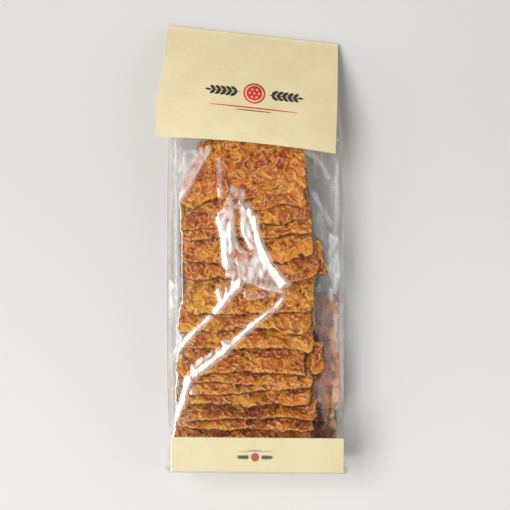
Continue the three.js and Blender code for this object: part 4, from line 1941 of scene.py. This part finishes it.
        # It stands out as an ear beside the base card, and is tucked in above it.
        ear = 5.2 * (1 - ease(y / 26.0))
        tuck = 3.4 * ease((y - 26.0) / 20.0) * np.clip(drop / 30.0, 0, 1)
        waves = Bumps((Waves.LEFT if outward < 0 else Waves.RIGHT).value)
        ripple = 0.5 * waves.at(y[:, None] + 0 * share, 24 * share + 0 * y[:, None], 7.0)
        ripple = ripple * np.sin(share * math.pi) * ease((y[:, None] - 2) / 20)
        bulge = (ear[:, None] * np.sin(share * math.pi) ** 0.8
                 - tuck[:, None] * (1 - np.abs(2 * share - 1)) + ripple)
        x = edge[:, :1] + outward * bulge
        z = edge[:, 2:3] - drop[:, None] * share
        points = np.stack([x, np.broadcast_to(y[:, None], x.shape), z], axis=-1)
        return points[:, 1:self.side_steps + 1], points[:, :self.side_steps:-1]

    def build(self, bench: Bench, finish: FilmFinish, header: HeaderCard, base: BaseCard,
              crackers: list[bpy.types.Object]) -> bpy.types.Object:
        """Makes the bag.

        Args:
            bench: places the layout.
            finish: the film's look.
            header: the card over its mouth.
            base: the card in its bottom.
            crackers: the pieces in it.

        Returns:
            The piece.
        """
        x, y = self.grid()
        heights = self.contents(*x.shape, bench, crackers)
        sheet = self.drape(x, y, heights, header, base)
        sheet, haze, slack = self.crumple(x, y, sheet, heights)
        row_y = y[:, 0]
        on_base = row_y < base.flap + 0.5
        # The back lies on the floor up to the header card's back panel, and on that from there.
        foot = np.where(on_base, -0.04, 0.03) + 0.72 * ease((row_y - 223.0) / 4.0)
        front = np.stack([x, y, sheet], axis=-1)
        back = np.stack([x, y, np.broadcast_to(foot[:, None], x.shape)], axis=-1)
        left_up, left_down = self.wall(front[:, 0], foot, row_y, -1)
        right_up, right_down = self.wall(front[:, -1], foot, row_y, 1)
        upper = np.concatenate([left_up[:, ::-1], front, right_up], axis=1)
        lower = np.concatenate([left_down[:, ::-1], back, right_down], axis=1)
        rings = np.concatenate([upper, lower[:, ::-1]], axis=1)
        points, quads = loft(rings)
        side = np.ones((len(row_y), self.side_steps))
        marks = {}
        # The whitening mark carries painted highlight and reflection as well as the film's own whitening.
        for mark, values, beside in (("haze", haze, 0.0), ("slack", slack, 0.8)):
            over = np.concatenate([beside * side, values, beside * side], axis=1)
            marks[mark] = np.concatenate([over, np.full(over.shape, 0.6 * beside)], axis=1)
        return add_piece("film_bag", points, quads, bench, finish.material(), marks)


# ---- Studio ----------------------------------------------------------------------------


@dataclass(frozen=True)
class Studio:
    """Pale floor, soft light from the left, and the camera straight above.

    Attributes:
        eye: x, y and height of the camera in the layout.
        lens: focal length of the camera, whose sensor is 36 mm wide.
        roll: turn of the picture in degrees.
        floor: screen colour of the floor's upper left.
        floor_painted_light: screen colour of painted light, towards which the floor grows paler at the
            lower right.
        key_place: place of the large light.
        key_size: metres that it measures along the bag and across it.
        key_watts: its power.
        fill: strength of the pale surroundings.
        overhead: share of it straight above, where camera and ceiling are dark.
        FLOOR_M: half the floor's width in metres.
        AIM: place that the large light faces.
    """

    eye: tuple[float, float, float] = (-2.75, 142.8, 700.0)
    lens: float = 70.0
    roll: float = 0.5
    floor: str = "d3d2d1"
    floor_painted_light: str = "f0eff0"
    key_place: tuple[float, float, float] = (-700.0, 150.0, 1520.0)
    key_size: tuple[float, float] = (1.3, 0.76)
    key_watts: float = 22.4
    fill: float = 0.65
    overhead: float = 0.1

    FLOOR_M: ClassVar[float] = 1.6
    AIM: ClassVar[tuple[float, float, float]] = (0.0, 150.0, 20.0)

    def lay_floor(self) -> None:
        """Puts the pale floor under the bag."""
        half, below = self.FLOOR_M, -0.0001
        mesh = bpy.data.meshes.new("floor")
        corners = [(-half, -half), (half, -half), (half, half), (-half, half)]
        mesh.from_pydata([(x, y, below) for x, y in corners], [], [(0, 1, 2, 3)])
        material, nodes = new_material("pale floor")
        axes = nodes.add("ShaderNodeSeparateXYZ", {0: nodes.place()})
        # The floor's colour paints light: it grows paler towards the right and the bottom.
        across = nodes.span(axes.outputs[0], -0.2, 0.2, 0.0, 0.2)
        share = nodes.sum("ADD", across, nodes.span(axes.outputs[1], 0.12, -0.2, 0.0, 0.45))
        tint = nodes.mix(share, linear(self.floor), linear(self.floor_painted_light))
        inputs = {"Base Color": tint, "Roughness": 0.8, "Specular IOR Level": 0.2}
        nodes.finish(nodes.add("ShaderNodeBsdfPrincipled", inputs))
        mesh.materials.append(material)
        floor = bpy.data.objects.new("floor", mesh)
        bpy.context.scene.collection.objects.link(floor)

    def light(self, bench: Bench) -> None:
        """Hangs the key light and sets the surroundings.

        Args:
            bench: places the layout.
        """
        lamp = bpy.data.lights.new("key light", "AREA")
        lamp.shape = "RECTANGLE"
        lamp.size, lamp.size_y = self.key_size
        lamp.energy = self.key_watts
        lamp.color = (1.0, 0.99, 0.975)
        key = bpy.data.objects.new("key light", lamp)
        key.location = Vector(bench.place(np.array(self.key_place)))
        aim = Vector(bench.place(np.array(self.AIM))) - key.location
        key.rotation_euler = aim.to_track_quat("-Z", "Y").to_euler()
        bpy.context.scene.collection.objects.link(key)
        world = bpy.data.worlds.new("pale surroundings")
        world.use_nodes = True
        nodes = Nodes(world.node_tree)
        sky = world.node_tree.nodes["Background"]
        sky.inputs["Color"].default_value = (1.0, 0.995, 0.99, 1.0)
        seen = nodes.add("ShaderNodeTexCoord").outputs["Generated"]
        upward = nodes.add("ShaderNodeSeparateXYZ", {0: seen})
        dark = nodes.span(upward.outputs[2], 0.74, 0.88, self.fill, self.fill * self.overhead)
        nodes.set(sky.inputs["Strength"], dark)
        bpy.context.scene.world = world

    def camera(self, bench: Bench) -> None:
        """Hangs the camera over the bag.

        Args:
            bench: places the layout.
        """
        data = bpy.data.cameras.new("camera")
        data.lens, data.sensor_width = self.lens, 36.0
        camera = bpy.data.objects.new("camera", data)
        camera.location = Vector(bench.place(np.array(self.eye)))
        camera.rotation_euler = Euler((0.0, 0.0, math.radians(self.roll)))
        bpy.context.scene.collection.objects.link(camera)
        bpy.context.scene.camera = camera
        bpy.context.scene.view_settings.view_transform = "Standard"


# ---- The pack --------------------------------------------------------------------------


@dataclass(frozen=True)
class CrackerBag:
    """The whole pack: its crackers, film and cards.

    Attributes:
        bench: places the layout.
        header: the card over its mouth.
        base: the card in its bottom.
        film: the clear bag.
        crust: the crackers' look.
        card: the header card's look.
        base_card_painted_paler: the base card's, a little paler as painted light, for the stronger light at
            the bag's bottom.
        clear: the film's look.
        shreds: loose cheese on the crackers.
    """

    bench: Bench
    header: HeaderCard = HeaderCard()
    base: BaseCard = BaseCard()
    film: FilmBag = FilmBag()
    crust: CrustFinish = CrustFinish()
    card: CardFinish = CardFinish()
    base_card_painted_paler: CardFinish = CardFinish(cream="fff5cb", shade="faeec1")
    clear: FilmFinish = FilmFinish()
    shreds: ShredScatter = ShredScatter()

    def keep(self, piece: bpy.types.Object, slot: str, *nodes: str) -> bpy.types.Object:
        """Rides a piece on the pack and reports it.

        Args:
            piece: a finished piece.
            slot: the record's material slot; not used.
            *nodes: the CAD nodes that it replaces.

        Returns:
            The piece.
        """
        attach(piece, BODY)
        if nodes:
            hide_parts(*nodes)
        log.info("%s: %d faces", piece.name, len(piece.data.polygons))
        return piece

    def fill(self) -> list[bpy.types.Object]:
        """Bakes the crackers and lays them in the bag.

        Returns:
            Their pieces.
        """
        material = self.crust.material()
        tree = self.shreds.tree(self.shreds.shred_shapes(), material)
        made = []
        for cracker in FRONT_CRACKERS + deep_crackers():
            piece = cracker.build(self.bench, material)
            self.shreds.cover(piece, tree, cracker)
            made.append(self.keep(piece, "cracker"))
        return made

    def build(self) -> None:
        """Makes every piece in order."""
        crackers = self.fill()
        self.keep(self.header.build(self.bench, self.card), "card", "header_card")
        # The base card takes a paler copy of the same card, as painted light.
        self.keep(self.base.build(self.bench, self.base_card_painted_paler), "card", "base_card")
        prints = (
            (Badge(1.0, (3.8, 44.5)), "header_print", self.header),
            (Badge(0.37, (-1.6, -10.2), upside_down=True), "base_print", self.base),
        )
        for badge, name, card in prints:
            for piece in badge.build(name, card, self.bench, self.card):
                self.keep(piece, "card")
        film = self.film.build(self.bench, self.clear, self.header, self.base, crackers)
        self.keep(film, "film", "bag")


def main() -> None:
    """Builds the pack and its surroundings."""
    logging.basicConfig(level=logging.INFO, format="%(name)s: %(message)s")
    bench = Bench.from_base_card()
    studio = Studio()
    studio.camera(bench)
    CrackerBag(bench).build()
    studio.lay_floor()
    studio.light(bench)


if __name__ == "__main__":
    main()
